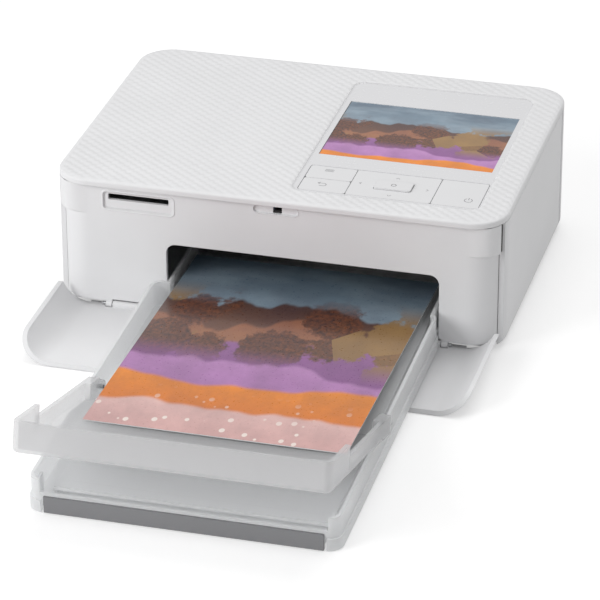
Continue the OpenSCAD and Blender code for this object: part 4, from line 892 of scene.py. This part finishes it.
@dataclass(frozen=True)
class Viewpoint:
    """Camera at the measured place, in mm about the middle of the body's foot."""

    place: tuple[float, float, float] = (339.40, -1279.84, 667.69)
    target: tuple[float, float, float] = (17.936, -92.787, 30.0)
    roll: float = -0.216
    focal_px: float = 3606.844
    frame_px: float = 600.0

    def build(self) -> bpy.types.Object:
        """Makes the camera and returns it."""
        data = bpy.data.cameras.new("camera")
        data.sensor_fit = "HORIZONTAL"
        data.sensor_width = 36.0
        data.lens = self.focal_px / self.frame_px * 36.0
        data.clip_end = 20.0
        camera = bpy.data.objects.new("camera", data)
        bpy.context.scene.collection.objects.link(camera)
        place, target = (Vector((np.array(p) + STAND) * MM) for p in (self.place, self.target))
        look = (target - place).to_track_quat("-Z", "Y").to_matrix()
        turned = look @ Matrix.Rotation(math.radians(self.roll), 3, "Z")
        camera.matrix_world = Matrix.Translation(place) @ turned.to_4x4()
        bpy.context.scene.camera = camera
        return camera


@dataclass
class Studio:
    """Pale floor, soft lamps and a plain world."""

    world_level: float = 0.5
    key_power: float = 5.6
    top_power: float = 9.4
    floor_glow: float = 0.40

    def floor(self) -> bpy.types.Object:
        """Large flat floor that keeps the shadow and shows white to the camera."""
        u, v = np.meshgrid(np.linspace(-6, 6, 25), np.linspace(-6, 6, 25), indexing="ij")
        points = np.stack([u, v, np.full_like(u, -0.00002)], -1).reshape(-1, 3) / MM
        g = Graph("floor")
        cloud = g.noise(g.position(), 0.002)
        g.feed(g.shader.inputs["Base Color"], g.mix(cloud, (0.70, 0.70, 0.70), (0.72, 0.72, 0.72)))
        g.shader.inputs["Roughness"].default_value = 0.9
        path = g.add("LightPath")
        seen = g.math("MAXIMUM", path.outputs["Is Camera Ray"], path.outputs["Is Glossy Ray"])
        seen = g.math("MAXIMUM", seen, path.outputs["Is Transmission Ray"])
        g.feed(g.shader.inputs["Emission Color"], (1.0, 1.0, 1.0))
        g.feed(g.shader.inputs["Emission Strength"], g.math("MULTIPLY", seen, self.floor_glow))
        floor = mesh_piece("floor", points, grid_faces(25, 25).tolist(), g.material)
        return floor

    def world(self) -> None:
        """White world to the eye, soft grey light to the object."""
        world = bpy.data.worlds.new("world")
        bpy.context.scene.world = world
        world.use_nodes = True
        tree = world.node_tree
        back = tree.nodes["Background"]
        path = tree.nodes.new("ShaderNodeLightPath")
        seen = tree.nodes.new("ShaderNodeMath")
        seen.operation = "MULTIPLY_ADD"
        seen.inputs[1].default_value = 1.0 - self.world_level
        seen.inputs[2].default_value = self.world_level
        tree.links.new(path.outputs["Is Camera Ray"], seen.inputs[0])
        tree.links.new(seen.outputs[0], back.inputs["Strength"])
        back.inputs["Color"].default_value = (1.0, 1.0, 1.0, 1.0)

    def lamp(self, name: str, place: Sequence[float], target: Sequence[float], size: float, power: float,
             colour: Colour = (1, 1, 1)) -> bpy.types.Object:
        """Adds a square area lamp that faces a target."""
        data = bpy.data.lights.new(name, "AREA")
        data.shape = "SQUARE"
        data.size = size
        data.energy = power
        data.color = colour
        lamp = bpy.data.objects.new(name, data)
        bpy.context.scene.collection.objects.link(lamp)
        lamp.location = Vector(place) + Vector(STAND * MM)
        lamp.rotation_euler = (Vector(target) - Vector(place)).to_track_quat("-Z", "Y").to_euler()
        return lamp

    def build(self) -> None:
        """Makes the room."""
        self.floor()
        self.world()
        self.lamp("key_lamp", (-0.70, -0.74, 0.50), (0, -0.05, 0.02), 0.6, self.key_power)
        self.lamp("top_lamp", (0.10, 0.50, 1.60), (0, -0.05, 0), 1.2, self.top_power)
        scene = bpy.context.scene
        scene.view_settings.view_transform = "Standard"


def main() -> None:
    """Builds the room, the finishes and the printer's pieces in order."""
    logging.basicConfig(level=logging.INFO, format="%(message)s", stream=sys.stdout)
    Viewpoint().build()
    Studio().build()
    dressing = Dressing()
    log.info("dressed %d slots", dressing.dress())
    pieces: list[bpy.types.Object] = [TopRelief().build(dressing)]
    skins = PictureSkins()
    pieces += [skins.screen(dressing), skins.print_face()]
    pieces += KeyMarks().build()
    pieces += CornerLips().build(dressing)
    pieces += [KeyGaps().build(dressing)] + FaceBeads().build(dressing)
    for piece in pieces:
        log.info("%s: %d faces", piece.name, len(piece.data.polygons))


if __name__ == "__main__":
    main()
